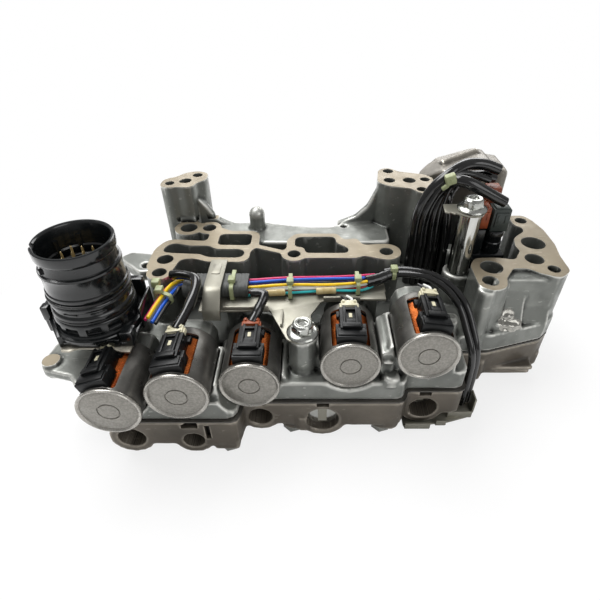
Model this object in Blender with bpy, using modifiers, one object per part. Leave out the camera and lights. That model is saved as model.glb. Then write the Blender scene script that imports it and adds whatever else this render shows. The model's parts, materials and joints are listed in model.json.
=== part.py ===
# Transmission valve body: two castings, five solenoids, five spool valves and the wiring harness.
# Sizes are in millimetres. +X runs along the row of solenoids, +Y into the depth, +Z up,
# and z = 0 is the surface that it stands on. An empty carries the whole part and brings the
# middle of its bounding box over the origin.

import math
from collections import namedtuple

import bmesh
import bpy
from mathutils import Matrix, Vector

MM = 0.001

# Clearances
GAP = 0.3
SLIDING_GAP = 0.3
WIRE_GAP = 0.4

# Levels of the castings
BOLT_HEAD_HEIGHT = 5.0
LOWER_BOTTOM = 12.0
PAD_BOTTOM = BOLT_HEAD_HEIGHT + GAP
SEAM = 31.2
SEPARATOR_THICKNESS = 1.0
UPPER_BOTTOM = SEAM + SEPARATOR_THICKNESS + 2 * GAP
DECK_THICKNESS = 13.2
DECK = UPPER_BOTTOM + DECK_THICKNESS
GALLERY_TOP = 79.0
REAR_PLATE_TOP = 74.0
POST_TOP = 104.5
RAISED_ROOT = 2.0
SEAM_INSET = 1.0

# Front faces of the three stepped blocks
FRONT_LEFT = -80.0
FRONT_MIDDLE = -67.0
FRONT_RIGHT = -59.0

# Ends of the castings along X: the wing stands out at the left, the tower at the right
BODY_LEFT = -106.0
BLOCKS_RIGHT = 91.0
WING_LENGTH = 41.5
TOWER_LENGTH = 68.8
WING_END = BODY_LEFT - WING_LENGTH
TOWER_END = BLOCKS_RIGHT + TOWER_LENGTH
WING_BOSS = (WING_END + 5.7, -51.0)
WING_BOSS_RADIUS = 4.8
WING_BOSS_TOP = 49.0
LUG_TOP = 66.0

# Solenoids: axis place, the seat that the back of the can meets, and how far it leans to the left
Solenoid = namedtuple("Solenoid", "x seat_y z lean")
CLIP_LENGTH = 6.0
BARE_SOLENOID = 1
ORANGE_CLIP = 3
SOLENOIDS = (
    Solenoid(-96.4, -52.8, 51.0, 18.0),
    Solenoid(-63.2, -48.4, 56.5, 10.0),
    Solenoid(-29.2, -36.6, 51.0, 0.0),
    Solenoid(23.6, -28.4, 57.0, 0.0),
    Solenoid(62.6, -31.1, 67.0, -7.0),
)
CAN_RADIUS = 16.0
CAN_LENGTH = 36.0
CAN_WALL = 1.6
CAN_FRONT_WALL = 2.0
CAN_BACK_WALL = 4.0
RIM_STEP = 0.4
RIM_LENGTH = 1.6
NOSE_RADIUS = 7.0
NOSE_LENGTH = 10.0
WINDOW_WIDTH = 20.0
WINDOW_START = 3.0
WINDOW_LENGTH = CAN_LENGTH - CAN_BACK_WALL - WINDOW_START - 1.5
WINDOW_FLOOR = 4.0
PLUNGER_RADIUS = 5.8
PLUNGER_LENGTH = 18.5
PLUNGER_TRAVEL = 1.5
COIL_BORE = PLUNGER_RADIUS + SLIDING_GAP
COIL_RADIUS = CAN_RADIUS - CAN_WALL - 0.5
HOUSING_WIDTH = 15.2
HOUSING_NECK = 10.4
HOUSING_FRONT = 6.0
HOUSING_LENGTH = 21.5
HOUSING_RISE = 5.5
HOUSING_STEP = 2.9
CLIP_WIDTH = 9.2
CLIP_HEIGHT = 5.0
SADDLE_WALL = 3.2
NOSE_WALL = 6.0
NOSE_SEAT = NOSE_LENGTH + 4.0
SIDES = 24
LOBE_SIDES = 16
HOLE_SIDES = 12

# Valve bores in the lower casting
Bore = namedtuple("Bore", "x z radius front retainer_depth")
BORES = (
    Bore(-95.5, 17.4, 7.5, FRONT_LEFT, 9.0),
    Bore(-61.7, 15.2, 5.8, FRONT_LEFT, 9.0),
    Bore(-25.9, 18.8, 6.6, FRONT_MIDDLE, 9.0),
    Bore(9.5, 16.1, 9.2, FRONT_MIDDLE, 3.0),
    Bore(68.3, 16.8, 8.2, FRONT_RIGHT, 9.0),
)
BORE_DEPTH = 62.0
BORE_WALL = 5.0
BORE_LOBE_LENGTH = 70.0
BORE_SIDES = 16
RETAINER_WIDTH = 5.0
RETAINER_THICKNESS = 1.5
RETAINER_WINDOW = 7.2
SPOOL_LENGTH = 34.0
SPOOL_NECK = 2.6
LAND_LENGTH = 7.0
SPRING_WIRE = 0.6
SPRING_TURNS = 4
SPRING_POINTS = 9

# Bolts under the lower casting
BOLT_PLACES = (
    (-44.0, -71.0),
    (-8.0, -58.0),
    (45.0, -58.0),
)
BOLT_HEAD_RADIUS = 6.0
BOLT_RADIUS = 3.0
BOLT_GRIP = 12.0
BOLT_PAD_RADIUS = 7.5
FEET = ((-84.0, 50.0), (130.0, 40.0), (132.0, -6.0))
FOOT_RADIUS = 8.0

# Case connector
CONNECTOR_X = -111.5
CONNECTOR_Y = -40.0
CONNECTOR_RADIUS = 20.0
CONNECTOR_BOTTOM = 71.6
CONNECTOR_TOP = 120.5
RIM_RADIUS = 19.3
SOCKET_RADIUS = 17.5
SOCKET_FLOOR = 101.0
SEAL_DEPTH = 1.5
SEAL_WIDTH = 2.4
SEAL_LEVEL = 93.5
CONNECTOR_WINDOWS = 12
INSERT_THICKNESS = 1.2
PIN_RADIUS = 0.7
PIN_HEIGHT = 11.0
PIN_PITCH = 5.4
PIN_ROWS = (3, 4, 3)
BASE_THICKNESS = 2.2
RETAINING_THICKNESS = 1.2
BASE_BOTTOM = CONNECTOR_BOTTOM - GAP - BASE_THICKNESS
RETAINING_BOTTOM = BASE_BOTTOM - GAP - RETAINING_THICKNESS
CONNECTOR_POSTS = ((-101.0, -22.0), (-128.0, -26.0))
CONNECTOR_POST_RADIUS = 6.0

# Harness tray, bracket and sleeve
TRAY_BOTTOM = 69.0
TRAY_THICKNESS = 1.2
TRAY_TOP = TRAY_BOTTOM + TRAY_THICKNESS
TRAY_SEATS = ((-42.0, -22.0), (38.0, -13.0))
TRAY_SEAT_RADIUS = 5.0
BRACKET_THICKNESS = 1.5
HARNESS_SLEEVE_HEIGHT = 9.0
HARNESS_SLEEVE_LEFT = -70.0
HARNESS_SLEEVE_RIGHT = -33.0
HARNESS_SLEEVE_FRONT = -25.0
HARNESS_SLEEVE_BACK = -7.5
WIRE_RADIUS = 0.8
WIRE_PITCH = 2.3
LEFT_WIRES = ((0, 0), (1, 0), (2, 0), (3, 0), (1, 1))
RIGHT_WIRES = ((0, 1), (2, 0), (3, 0), (4, 0), (0, 2), (1, 2), (3, 2))
SPLICE_RADIUS = 2.0
LEAD_RADIUS = 2.4
LEADS = {
    2: [(-76.5, -17.0, 82.6), (-68.0, -19.5, 84.4), (-60.5, -25.0, 84.6), (-61.0, -40.0, 81.5)],
    3: [(-30.0, -27.6, 78.0), (-23.0, -29.5, 78.5), (-25.0, -35.5, 75.0)],
}
CABLE_RADIUS = 2.0
BUNDLE_RADIUS = 3.2
TIE_WIDTH = 2.2

# Front bolt post and the steel sleeve at the rear right
FRONT_POST = (-1.5, -51.8)
FRONT_POST_RADIUS = 7.7
SLEEVE_PLACE = (95.5, 9.4)
SLEEVE_RADIUS = 6.7
SLEEVE_BORE = 4.2
SLEEVE_LENGTH = 40.5
SLEEVE_SEAT_TOP = 68.0
SHEET = 1.2
FLANGE_RADIUS = 8.6
FLANGE_THICKNESS = 1.6
HEAD_HEIGHT = 5.5
TOP_BOLT_RADIUS = 3.2

# Rear cover
COVER_LEFT, COVER_FRONT = 87.0, 64.0
COVER_WIDTH, COVER_DEPTH = 50.0, 25.0
COVER_RIGHT = COVER_LEFT + COVER_WIDTH
COVER_BACK = COVER_FRONT + COVER_DEPTH
COVER_SEAT = 84.0
COVER_TOP = 118.0
COVER_WALL = 3.0
RIDGE_RADIUS = 3.6
COVER_REACH = 7.0


def new_collection(name):
    collection = bpy.data.collections.new(name)
    bpy.context.scene.collection.children.link(collection)
    return collection


def link_mesh(name, bm, origin=(0.0, 0.0, 0.0)):
    """Makes an object in the parts collection from a bmesh in millimetres, with its origin there."""
    move = Matrix.Scale(MM, 4) @ Matrix.Translation(-Vector(origin))
    bmesh.ops.transform(bm, matrix=move, verts=bm.verts)
    bmesh.ops.recalc_face_normals(bm, faces=bm.faces)
    mesh = bpy.data.meshes.new(name)
    bm.to_mesh(mesh)
    bm.free()
    thing = bpy.data.objects.new(name, mesh)
    thing.location = Vector(origin) * MM
    PARTS.objects.link(thing)
    return thing


def add_box(bm, low, high):
    low, high = Vector(low), Vector(high)
    middle = Matrix.Translation((low + high) / 2)
    size = Matrix.Diagonal((*(high - low), 1.0))
    bmesh.ops.create_cube(bm, size=1.0, matrix=middle @ size)


def add_rod(bm, start, end, radius, sides=SIDES, end_radius=None):
    """A cylinder or cone between two points."""
    start, end = Vector(start), Vector(end)
    turn = (end - start).to_track_quat("Z", "Y").to_matrix().to_4x4()
    bmesh.ops.create_cone(
        bm,
        cap_ends=True,
        cap_tris=False,
        segments=sides,
        radius1=radius,
        radius2=radius if end_radius is None else end_radius,
        depth=(end - start).length,
        matrix=Matrix.Translation((start + end) / 2) @ turn,
    )


def box(name, low, high):
    bm = bmesh.new()
    add_box(bm, low, high)
    return link_mesh(name, bm)


def rod(name, start, end, radius, sides=SIDES, end_radius=None):
    bm = bmesh.new()
    add_rod(bm, start, end, radius, sides, end_radius)
    return link_mesh(name, bm)


def rounded(corners, step=45.0):
    """Points of a flat outline whose corners (x, y, radius) are arcs."""
    points = []
    count = len(corners)
    for index, (x, y, radius) in enumerate(corners):
        here = Vector((x, y))
        back = Vector(corners[index - 1][:2]) - here
        ahead = Vector(corners[(index + 1) % count][:2]) - here
        inner = back.angle(ahead)
        if radius <= 0.0 or math.pi - inner < math.radians(5.0):
            points.append(here)
            continue
        reach = min(radius / math.tan(inner / 2), 0.48 * min(back.length, ahead.length))
        radius = reach * math.tan(inner / 2)
        back.normalize()
        ahead.normalize()
        centre = here + (back + ahead).normalized() * (radius / math.sin(inner / 2))
        first = here + back * reach - centre
        last = here + ahead * reach - centre
        start = math.atan2(first.y, first.x)
        sweep = math.remainder(math.atan2(last.y, last.x) - start, math.tau)
        steps = max(1, math.ceil(math.degrees(abs(sweep)) / step))
        for stop in range(steps + 1):
            angle = start + sweep * stop / steps
            points.append(centre + radius * Vector((math.cos(angle), math.sin(angle))))
    return points


def circle(x, y, radius, sides=SIDES):
    angles = [math.tau * side / sides for side in range(sides)]
    return [Vector((x + radius * math.cos(a), y + radius * math.sin(a))) for a in angles]


def strip(start, end, width):
    """Corners of a straight wall between two points."""
    start, end = Vector(start), Vector(end)
    side = (end - start).normalized().orthogonal() * (width / 2)
    return [start + side, end + side, end - side, start - side]


def prism(name, outline, low, high, holes=(), axis="Z"):
    """A flat outline extruded along an axis, with holes through it."""
    curve = bpy.data.curves.new(name, "CURVE")
    curve.dimensions = "2D"
    curve.fill_mode = "BOTH"
    curve.extrude = (high - low) / 2 * MM
    for loop in (outline, *holes):
        spline = curve.splines.new("POLY")
        spline.points.add(len(loop) - 1)
        for point, place in zip(spline.points, loop):
            point.co = (place[0] * MM, place[1] * MM, 0.0, 1.0)
        spline.use_cyclic_u = True
    flat = bpy.data.objects.new(name, curve)
    PARTS.objects.link(flat)
    thing = to_mesh(flat)
    lift = Matrix.Translation((0.0, 0.0, (low + high) / 2 * MM))
    turned = {
        "Z": Matrix.Identity(4),
        "Y": Matrix(((1, 0, 0, 0), (0, 0, 1, 0), (0, 1, 0, 0), (0, 0, 0, 1))),
        "X": Matrix(((0, 0, 1, 0), (1, 0, 0, 0), (0, 1, 0, 0), (0, 0, 0, 1))),
    }[axis]
    thing.data.transform(turned @ lift)
    face_outwards(thing.data)
    return thing


def face_outwards(mesh):
    bm = bmesh.new()
    bm.from_mesh(mesh)
    bmesh.ops.recalc_face_normals(bm, faces=bm.faces)
    bm.to_mesh(mesh)
    bm.free()


def to_mesh(source):
    """Replaces a curve object by a mesh object with welded caps."""
    name = source.name
    bpy.context.view_layer.update()
    graph = bpy.context.evaluated_depsgraph_get()
    mesh = bpy.data.meshes.new_from_object(source.evaluated_get(graph))
    place = source.matrix_world.copy()
    curve = source.data
    bpy.data.objects.remove(source)
    bpy.data.curves.remove(curve)
    bm = bmesh.new()
    bm.from_mesh(mesh)
    bmesh.ops.remove_doubles(bm, verts=bm.verts, dist=0.002 * MM)
    bmesh.ops.recalc_face_normals(bm, faces=bm.faces)
    bm.to_mesh(mesh)
    bm.free()
    thing = bpy.data.objects.new(name, mesh)
    thing.matrix_world = place
    PARTS.objects.link(thing)
    return thing


def turned(name, profile, origin, along="Z", sides=SIDES, closed=False):
    """A profile of (radius, height) turned about an axis through its origin."""
    mesh = bpy.data.meshes.new(name)
    count = len(profile)
    edges = [(index, index + 1) for index in range(count - 1)]
    if closed:
        edges.append((count - 1, 0))
    mesh.from_pydata([(r * MM, 0.0, h * MM) for r, h in profile], edges, [])
    thing = bpy.data.objects.new(name, mesh)
    thing.location = Vector(origin) * MM
    if along == "Y":
        thing.rotation_euler = (-math.pi / 2, 0.0, 0.0)
    PARTS.objects.link(thing)
    screw = thing.modifiers.new("turn", "SCREW")
    screw.steps = sides
    screw.render_steps = sides
    screw.use_merge_vertices = True
    screw.merge_threshold = 0.002 * MM
    return thing


def retire(thing):
    """Moves a helper to the cutters collection."""
    PARTS.objects.unlink(thing)
    CUTTERS.objects.link(thing)
    thing.hide_render = True
    thing.display_type = "WIRE"


def combine(target, others, operation):
    for other in others:
        boolean = target.modifiers.new(other.name, "BOOLEAN")
        boolean.operation = operation
        boolean.solver = "EXACT"
        boolean.object = other
        retire(other)


def join(target, *others):
    combine(target, others, "UNION")


def cut(target, *others):
    combine(target, others, "DIFFERENCE")


def smooth_path(points, spacing):
    """Points of a smooth curve through the given ones, about a spacing apart."""
    points = [Vector(point) for point in points]
    ends = [2 * points[0] - points[1], *points, 2 * points[-1] - points[-2]]
    path = []
    for index in range(len(points) - 1):
        p0, p1, p2, p3 = ends[index : index + 4]
        steps = max(1, round((p2 - p1).length / spacing))
        for step in range(steps):
            t = step / steps
            path.append(
                0.5
                * (
                    2 * p1
                    + (p2 - p0) * t
                    + (2 * p0 - 5 * p1 + 4 * p2 - p3) * t**2
                    + (3 * p1 - p0 - 3 * p2 + p3) * t**3
                )
            )
    path.append(points[-1])
    return path


def tubes(name, routes, radius, spacing, resolution=1):
    """One closed tube along each route, all in one node."""
    curve = bpy.data.curves.new(name, "CURVE")
    curve.dimensions = "3D"
    curve.bevel_depth = radius * MM
    curve.bevel_resolution = resolution
    curve.use_fill_caps = True
    for route in routes:
        path = smooth_path(route, spacing)
        spline = curve.splines.new("POLY")
        spline.points.add(len(path) - 1)
        for point, place in zip(spline.points, path):
            point.co = (*(place * MM), 1.0)
    thing = bpy.data.objects.new(name, curve)
    PARTS.objects.link(thing)
    return to_mesh(thing)


def paint(thing, name, colour, roughness, metallic):
    """Gives an object the material of that name."""
    material = bpy.data.materials.get(name)
    if material is None:
        material = bpy.data.materials.new(name)
        material.use_nodes = True
        shader = material.node_tree.nodes["Principled BSDF"]
        shader.inputs["Base Color"].default_value = (*colour, 1.0)
        shader.inputs["Roughness"].default_value = roughness
        shader.inputs["Metallic"].default_value = metallic
    thing.data.materials.clear()
    thing.data.materials.append(material)
    return thing


LIGHT_ALUMINIUM = ("light_aluminium", (0.25, 0.26, 0.24), 0.5, 1.0)
DARK_ALUMINIUM = ("dark_aluminium", (0.15, 0.14, 0.13), 0.55, 1.0)
STEEL = ("steel", (0.33, 0.33, 0.31), 0.35, 1.0)
BRIGHT_STEEL = ("bright_steel", (0.55, 0.55, 0.53), 0.18, 1.0)
ZINC = ("zinc_plate", (0.32, 0.32, 0.25), 0.35, 1.0)
GOLD = ("gold_pins", (0.45, 0.3, 0.1), 0.35, 1.0)
BLACK_PLASTIC = ("black_plastic", (0.01, 0.011, 0.012), 0.3, 0.0)
BLACK_RUBBER = ("black_rubber", (0.012, 0.012, 0.012), 0.45, 0.0)
GREY_PLASTIC = ("grey_plastic", (0.08, 0.09, 0.08), 0.45, 0.0)
CREAM_PLASTIC = ("cream_plastic", (0.75, 0.72, 0.58), 0.5, 0.0)
ORANGE_PLASTIC = ("orange_plastic", (0.35, 0.08, 0.02), 0.5, 0.0)


def can_face(solenoid):
    return solenoid.seat_y - CAN_LENGTH


def lean_of(solenoid):
    """The turn about a solenoid's axis, in millimetres."""
    axis = Vector((solenoid.x, 0.0, solenoid.z))
    turn = Matrix.Rotation(-math.radians(solenoid.lean), 4, "Y")
    return Matrix.Translation(axis) @ turn @ Matrix.Translation(-axis)


def lean(solenoid, *things):
    """Turns things about the solenoid's axis, as its can was turned when it was fitted."""
    scale = Matrix.Scale(MM, 4)
    turn = scale @ lean_of(solenoid) @ scale.inverted()
    for thing in things:
        thing.matrix_basis = turn @ thing.matrix_basis


def footprint(inset):
    """Outline of both castings, seen from above, with the three stepped blocks in front."""
    return rounded(
        [
            (BODY_LEFT, FRONT_LEFT + inset, 6),
            (-36 - inset, FRONT_LEFT + inset, 5),
            (-34 - inset, FRONT_MIDDLE + inset, 3),
            (55 - inset, FRONT_MIDDLE + inset, 5),
            (57 - inset, FRONT_RIGHT + inset, 3),
            (BLOCKS_RIGHT - inset, FRONT_RIGHT + inset, 5),
            (BLOCKS_RIGHT + 1 - inset, -29, 4),
            (112, -28, 6),
            (TOWER_END - 11.8, -17, 6),
            (TOWER_END - 2.8, -9, 6),
            (TOWER_END, 22, 8),
            (TOWER_END, 42, 6),
            (TOWER_END - 6.3, 62, 5),
            (COVER_RIGHT - 1, 62, 3),
            (COVER_RIGHT - 1, COVER_BACK - 1, 6),
            (COVER_LEFT - 2, COVER_BACK - 1, 6),
            (COVER_LEFT - 2, 62, 3),
            (-60, 62, 5),
            (-66, 74, 5),
            (-92, 74, 6),
            (-99, 50, 4),
            (-99, -10, 4),
            (BODY_LEFT, -20, 4),
        ]
    )


def gallery_walls():
    """The raised oil galleries, each a prism that ends in the machined top face."""
    low = DECK - RAISED_ROOT
    left_block = [
        (-95.5, -6, 4),
        (-95.5, 16, 9),
        (-90, 28.5, 7),
        (-64, 26, 3),
        (-64, 38, 3),
        (-57, 44, 4),
        (-51, 38.8, 4),
        (-30.5, 39.2, 7),
        (-30.5, 20, 4),
        (-35, 14, 4),
        (-35, 2, 7),
        (-60, 2.2, 4),
        (-68, 5.6, 4),
        (-77, 5.2, 4),
        (-79, -8, 3),
    ]
    right_block = [
        (-12.5, 6.3, 3),
        (-12.5, 28, 5),
        (-7, 35.5, 5),
        (20.5, 35.5, 4),
        (24, 27.5, 3),
        (33, 30, 3),
        (36, 21, 3),
        (50, 23, 6),
        (59, 12, 6),
        (47, 4.5, 6),
        (36, 9, 3),
        (31, 6.3, 3),
    ]
    lobes = (
        (-86.1, -9.1, 7.6),
        (-86.0, 4.6, 9.0),
        (-79.4, 43.3, 9.6),
        (-65.5, 43.3, 8.0),
        (-7.6, 10.9, 8.0),
        (50.1, 13.6, 9.2),
    )
    walls = [
        prism("gallery_left", rounded(left_block), low, GALLERY_TOP),
        prism("gallery_right", rounded(right_block), low, GALLERY_TOP),
        prism("gallery_rib", strip((-33, 20.5), (-11, 11.5), 3.6), low, GALLERY_TOP),
    ]
    for number, (x, y, radius) in enumerate(lobes):
        walls.append(rod(f"gallery_lobe_{number}", (x, y, low), (x, y, GALLERY_TOP), radius, LOBE_SIDES))
    return walls


def gallery_pockets():
    """Deep channels and drilled holes in the machined face."""
    channel = [
        (-90.5, 13, 4),
        (-88, 24.6, 6),
        (-74, 20.5, 3),
        (-62, 20.5, 3),
        (-57, 16.6, 3),
        (-38.4, 16.6, 4.5),
        (-38.4, 6.4, 4.5),
        (-60, 7, 3),
        (-66, 10.5, 3),
        (-84, 11.8, 4),
    ]
    square = [(-57, 35, 2.5), (-35.6, 35, 2.5), (-35.6, 20.8, 2.5), (-57, 21.4, 2.5)]
    wide = [
        (-7.4, 19.6, 2),
        (-7.4, 31.2, 3.5),
        (18.8, 31.7, 3),
        (19.4, 24, 2),
        (26.6, 17.6, 2),
        (26.6, 11.8, 3),
        (-0.2, 11.8, 2),
        (-1.5, 18, 3),
    ]
    drilled = (
        (-86.0, 4.6, 5.2),
        (-86.1, -9.1, 4.5),
        (-79.4, 43.3, 5.9),
        (-65.5, 43.3, 4.7),
        (-7.6, 10.9, 4.3),
        (50.1, 13.6, 4.5),
    )
    floor, top = DECK + 4.0, GALLERY_TOP + 1.0
    pockets = [
        prism("channel", rounded(channel), floor, top),
        prism("square_pocket", rounded(square), floor, top),
        prism("wide_pocket", rounded(wide), floor, top),
    ]
    for number, (x, y, radius) in enumerate(drilled):
        pockets.append(rod(f"gallery_hole_{number}", (x, y, floor), (x, y, top), radius, HOLE_SIDES))
    return pockets


def rear_wall():
    """The raised rear plate with its domed pin, its gusset and the two posts."""
    low = DECK - RAISED_ROOT
    plate = [
        (-75, 48, 3),
        (-62, 60, 5),
        (-45, 60, 5),
        (-30, 61, 5),
        (-15, 57, 5),
        (2, 54, 8),
        (18, 54, 6),
        (27, 61, 5),
        (40, 64, 4),
        (56, 60, 3),
        (56, 34, 4),
        (22, 32, 3),
        (-33, 33, 3),
        (-40, 34, 3),
    ]
    left_post = [
        (-97.2, 53, 5),
        (-96.5, 64, 5.5),
        (-89, 68, 4),
        (-84, 74.5, 5),
        (-76, 78, 7),
        (-67.6, 74, 6),
        (-68, 64, 4),
        (-73.5, 58, 3),
        (-76, 51, 6),
        (-86, 52, 3),
        (-91, 50.2, 5),
    ]
    right_post = [
        (50, 79, 4),
        (57, 84.5, 6),
        (64, 77, 4),
        (81, 72, 4),
        (86, 66, 5),
        (83, 45, 5),
        (75, 41, 6),
        (68, 50, 3),
        (54, 53.5, 7),
        (47.5, 60, 4),
    ]
    gusset = [
        (22, low),
        (22, REAR_PLATE_TOP - 1),
        (34, REAR_PLATE_TOP + 4),
        (42, REAR_PLATE_TOP + 12),
        (49, POST_TOP - 3),
        (54, POST_TOP - 3),
        (54, low),
    ]
    pin_x, pin_y, pin_radius, pin_height = -34.0, 52.7, 5.4, 10.0
    pin_top = REAR_PLATE_TOP + pin_height
    pin_root = (pin_x, pin_y, REAR_PLATE_TOP - RAISED_ROOT)
    dome = bmesh.new()
    centre = Matrix.Translation((pin_x, pin_y, pin_top))
    bmesh.ops.create_uvsphere(
        dome, u_segments=HOLE_SIDES, v_segments=6, radius=pin_radius * 1.06, matrix=centre
    )
    return [
        prism("rear_plate", rounded(plate), low, REAR_PLATE_TOP),
        prism("left_post", rounded(left_post), low, POST_TOP),
        prism("right_post", rounded(right_post), low, POST_TOP),
        prism("gusset", gusset, 60.0, 65.0, axis="Y"),
        rod("dome_pin", pin_root, (pin_x, pin_y, pin_top), pin_radius, HOLE_SIDES),
        link_mesh("dome", dome),
    ]


def rear_holes():
    """Drilled holes in the post tops and pockets in the rear face."""
    drilled = (
        (-91.1, 57.7, 3.3),
        (-74.9, 70.9, 3.5),
        (56.9, 77.7, 3.8),
        (55.8, 62.4, 4.1),
        (69.2, 62.4, 4.5),
        (80.0, 63.8, 3.5),
        (75.2, 48.4, 3.6),
    )
    shaped = [(-87, 58.5, 2), (-83, 65.5, 2.5), (-77, 65, 2.5), (-78, 57.5, 3)]
    depth, top = 24.0, POST_TOP + 1.0
    cutters = [prism("post_pocket", rounded(shaped), POST_TOP - depth, top)]
    for number, (x, y, radius) in enumerate(drilled):
        bottom = (x, y, POST_TOP - depth)
        cutters.append(rod(f"post_hole_{number}", bottom, (x, y, top), radius, HOLE_SIDES))
    pocket_width, pocket_pitch, pocket_count = 17.0, 22.0, 5
    pocket_top, pocket_bottom, pocket_front = 66.0, UPPER_BOTTOM + 5.0, 44.0
    pockets = bmesh.new()
    for number in range(pocket_count):
        left = -58.0 + number * pocket_pitch
        low = (left, pocket_front, pocket_bottom)
        add_box(pockets, low, (left + pocket_width, 90.0, pocket_top))
    cutters.append(link_mesh("rear_pockets", pockets))
    return cutters


def tower():
    """The right tower with its machined top, and the corner block that carries the cover."""
    outline = [
        (141.5, 60, 2),
        (TOWER_END - 7.3, 60.6, 5),
        (TOWER_END - 3.8, 53, 3),
        (TOWER_END - 0.8, 40, 6),
        (TOWER_END - 0.8, 22, 8),
        (TOWER_END - 3.3, 8, 4),
        (TOWER_END - 3.8, -8, 6),
        (TOWER_END - 12.3, -15, 5),
        (137.3, -10, 3),
        (132, -5, 3),
        (123, -5, 3),
        (116, -15, 3),
        (113.5, -24.5, 7),
        (104, -27.5, 8),
        (98, -22, 5),
        (98.5, -2, 4),
        (103, 6, 5),
        (117, 6.5, 3),
        (127.9, 4.1, 3),
        (130.5, 9, 3),
        (134, 14, 3),
        (133, 19.5, 4),
        (135, 29, 4),
        (139, 33, 3),
        (145, 38, 3),
        (146, 43, 3),
        (141.5, 47, 3),
    ]
    left, right, back = COVER_LEFT - 1.0, COVER_RIGHT - 2.0, COVER_BACK - 2.5
    corner = [(left, 56, 4), (right, 56, 4), (right, back, 6), (left, back, 6)]
    low = DECK - RAISED_ROOT
    seat_x, seat_y = SLEEVE_PLACE
    return [
        prism("tower", rounded(outline), low, GALLERY_TOP),
        prism("corner_block", rounded(corner), low, COVER_SEAT),
        rod("sleeve_seat", (seat_x, seat_y, low), (seat_x, seat_y, SLEEVE_SEAT_TOP), 9.0, LOBE_SIDES),
    ]


def tower_holes():
    drilled = (
        (TOWER_END - 14.1, 23.6, 7.7),
        (TOWER_END - 20.3, 5.1, 5.9),
        (TOWER_END - 12.7, -5.7, 4.0),
        (110.6, -3.7, 6.9),
        (105.8, -17.6, 5.0),
        (TOWER_END - 11.6, 53.0, 4.2),
    )
    holes = []
    for number, (x, y, radius) in enumerate(drilled):
        low, high = (x, y, DECK + 4.0), (x, y, GALLERY_TOP + 1.0)
        holes.append(rod(f"tower_hole_{number}", low, high, radius, LOBE_SIDES))
    return holes


def side_lugs():
    """The left wing with its boss, the lug behind the connector and the seats for loose plates."""
    low = DECK - RAISED_ROOT
    wing = [
        (WING_END, -49, 4),
        (WING_END + 1.5, -36, 4),
        (-126, -5, 6),
        (-97, 6, 3),
        (-97, -55, 3),
        (-118, -67.5, 3),
        (-124, -66.5, 2),
        (-128, -61, 2),
        (WING_END + 10, -58.5, 2),
        (WING_END + 2, -56.5, 4),
    ]
    lug = [(-125, 26, 3), (-119, 34, 4), (-95, 30, 3), (-92, 12, 3), (-107, 10, 5)]
    wing_top, wing_thickness = 47.0, 6.0
    lug_thickness = 8.0
    boss_x, boss_y = WING_BOSS
    boss_low, boss_top = (boss_x, boss_y, WING_BOSS_TOP - 11.0), (boss_x, boss_y, WING_BOSS_TOP)
    post_x, post_y = FRONT_POST
    post_low, post_top = (post_x, post_y, low), (post_x, post_y, TRAY_BOTTOM - GAP)
    things = [
        prism("wing", rounded(wing), wing_top - wing_thickness, wing_top),
        prism("lug", rounded(lug), LUG_TOP - lug_thickness, LUG_TOP),
        rod("wing_boss", boss_low, boss_top, WING_BOSS_RADIUS, LOBE_SIDES),
        rod("front_post", post_low, post_top, FRONT_POST_RADIUS, LOBE_SIDES),
        prism("front_rib", strip((43.4, -60), (43.4, -30), 7.0), low, DECK + 17.0),
    ]
    for number, (x, y) in enumerate(CONNECTOR_POSTS):
        bottom, top = (x, y, low), (x, y, RETAINING_BOTTOM - GAP)
        name = f"connector_post_{number}"
        things.append(rod(name, bottom, top, CONNECTOR_POST_RADIUS, HOLE_SIDES))
    for number, (x, y) in enumerate(TRAY_SEATS):
        bottom, top = (x, y, low), (x, y, TRAY_BOTTOM - GAP)
        things.append(rod(f"tray_seat_{number}", bottom, top, TRAY_SEAT_RADIUS, HOLE_SIDES))
    return things


def solenoid_seats():
    """A saddle under each can and a seat behind it for its nose."""
    low = DECK - RAISED_ROOT
    seats = []
    for number, solenoid in enumerate(SOLENOIDS, 1):
        x, z = solenoid.x, solenoid.z
        half = CAN_RADIUS + SADDLE_WALL
        end = solenoid.seat_y
        front = can_face(solenoid) + 9.0
        nose_low, nose_high = x - NOSE_RADIUS - NOSE_WALL, x + NOSE_RADIUS + NOSE_WALL
        saddle = [(x - half, low, 0), (x + half, low, 0), (x + half, z - 1, 3), (x - half, z - 1, 3)]
        nose = [
            (nose_low, low, 0),
            (nose_high, low, 0),
            (nose_high, z + NOSE_RADIUS + 1.5, 8),
            (nose_low, z + NOSE_RADIUS + 1.5, 8),
        ]
        seats.append(prism(f"saddle_{number}", rounded(saddle), front, end + 2.0, axis="Y"))
        seats.append(prism(f"nose_{number}", rounded(nose), end + GAP, end + NOSE_SEAT, axis="Y"))
    return seats


def solenoid_cuts():
    """Room for each can and its nose."""
    cuts = []
    for number, solenoid in enumerate(SOLENOIDS, 1):
        x, z = solenoid.x, solenoid.z
        end = solenoid.seat_y
        room = bmesh.new()
        add_rod(room, (x, can_face(solenoid) - 8, z), (x, end + GAP, z), CAN_RADIUS + GAP)
        cuts.append(link_mesh(f"can_room_{number}", room))
        nose = bmesh.new()
        add_rod(nose, (x, end, z), (x, end + NOSE_LENGTH + 2 * GAP, z), NOSE_RADIUS + GAP, LOBE_SIDES)
        cuts.append(link_mesh(f"nose_room_{number}", nose))
    return cuts


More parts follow.
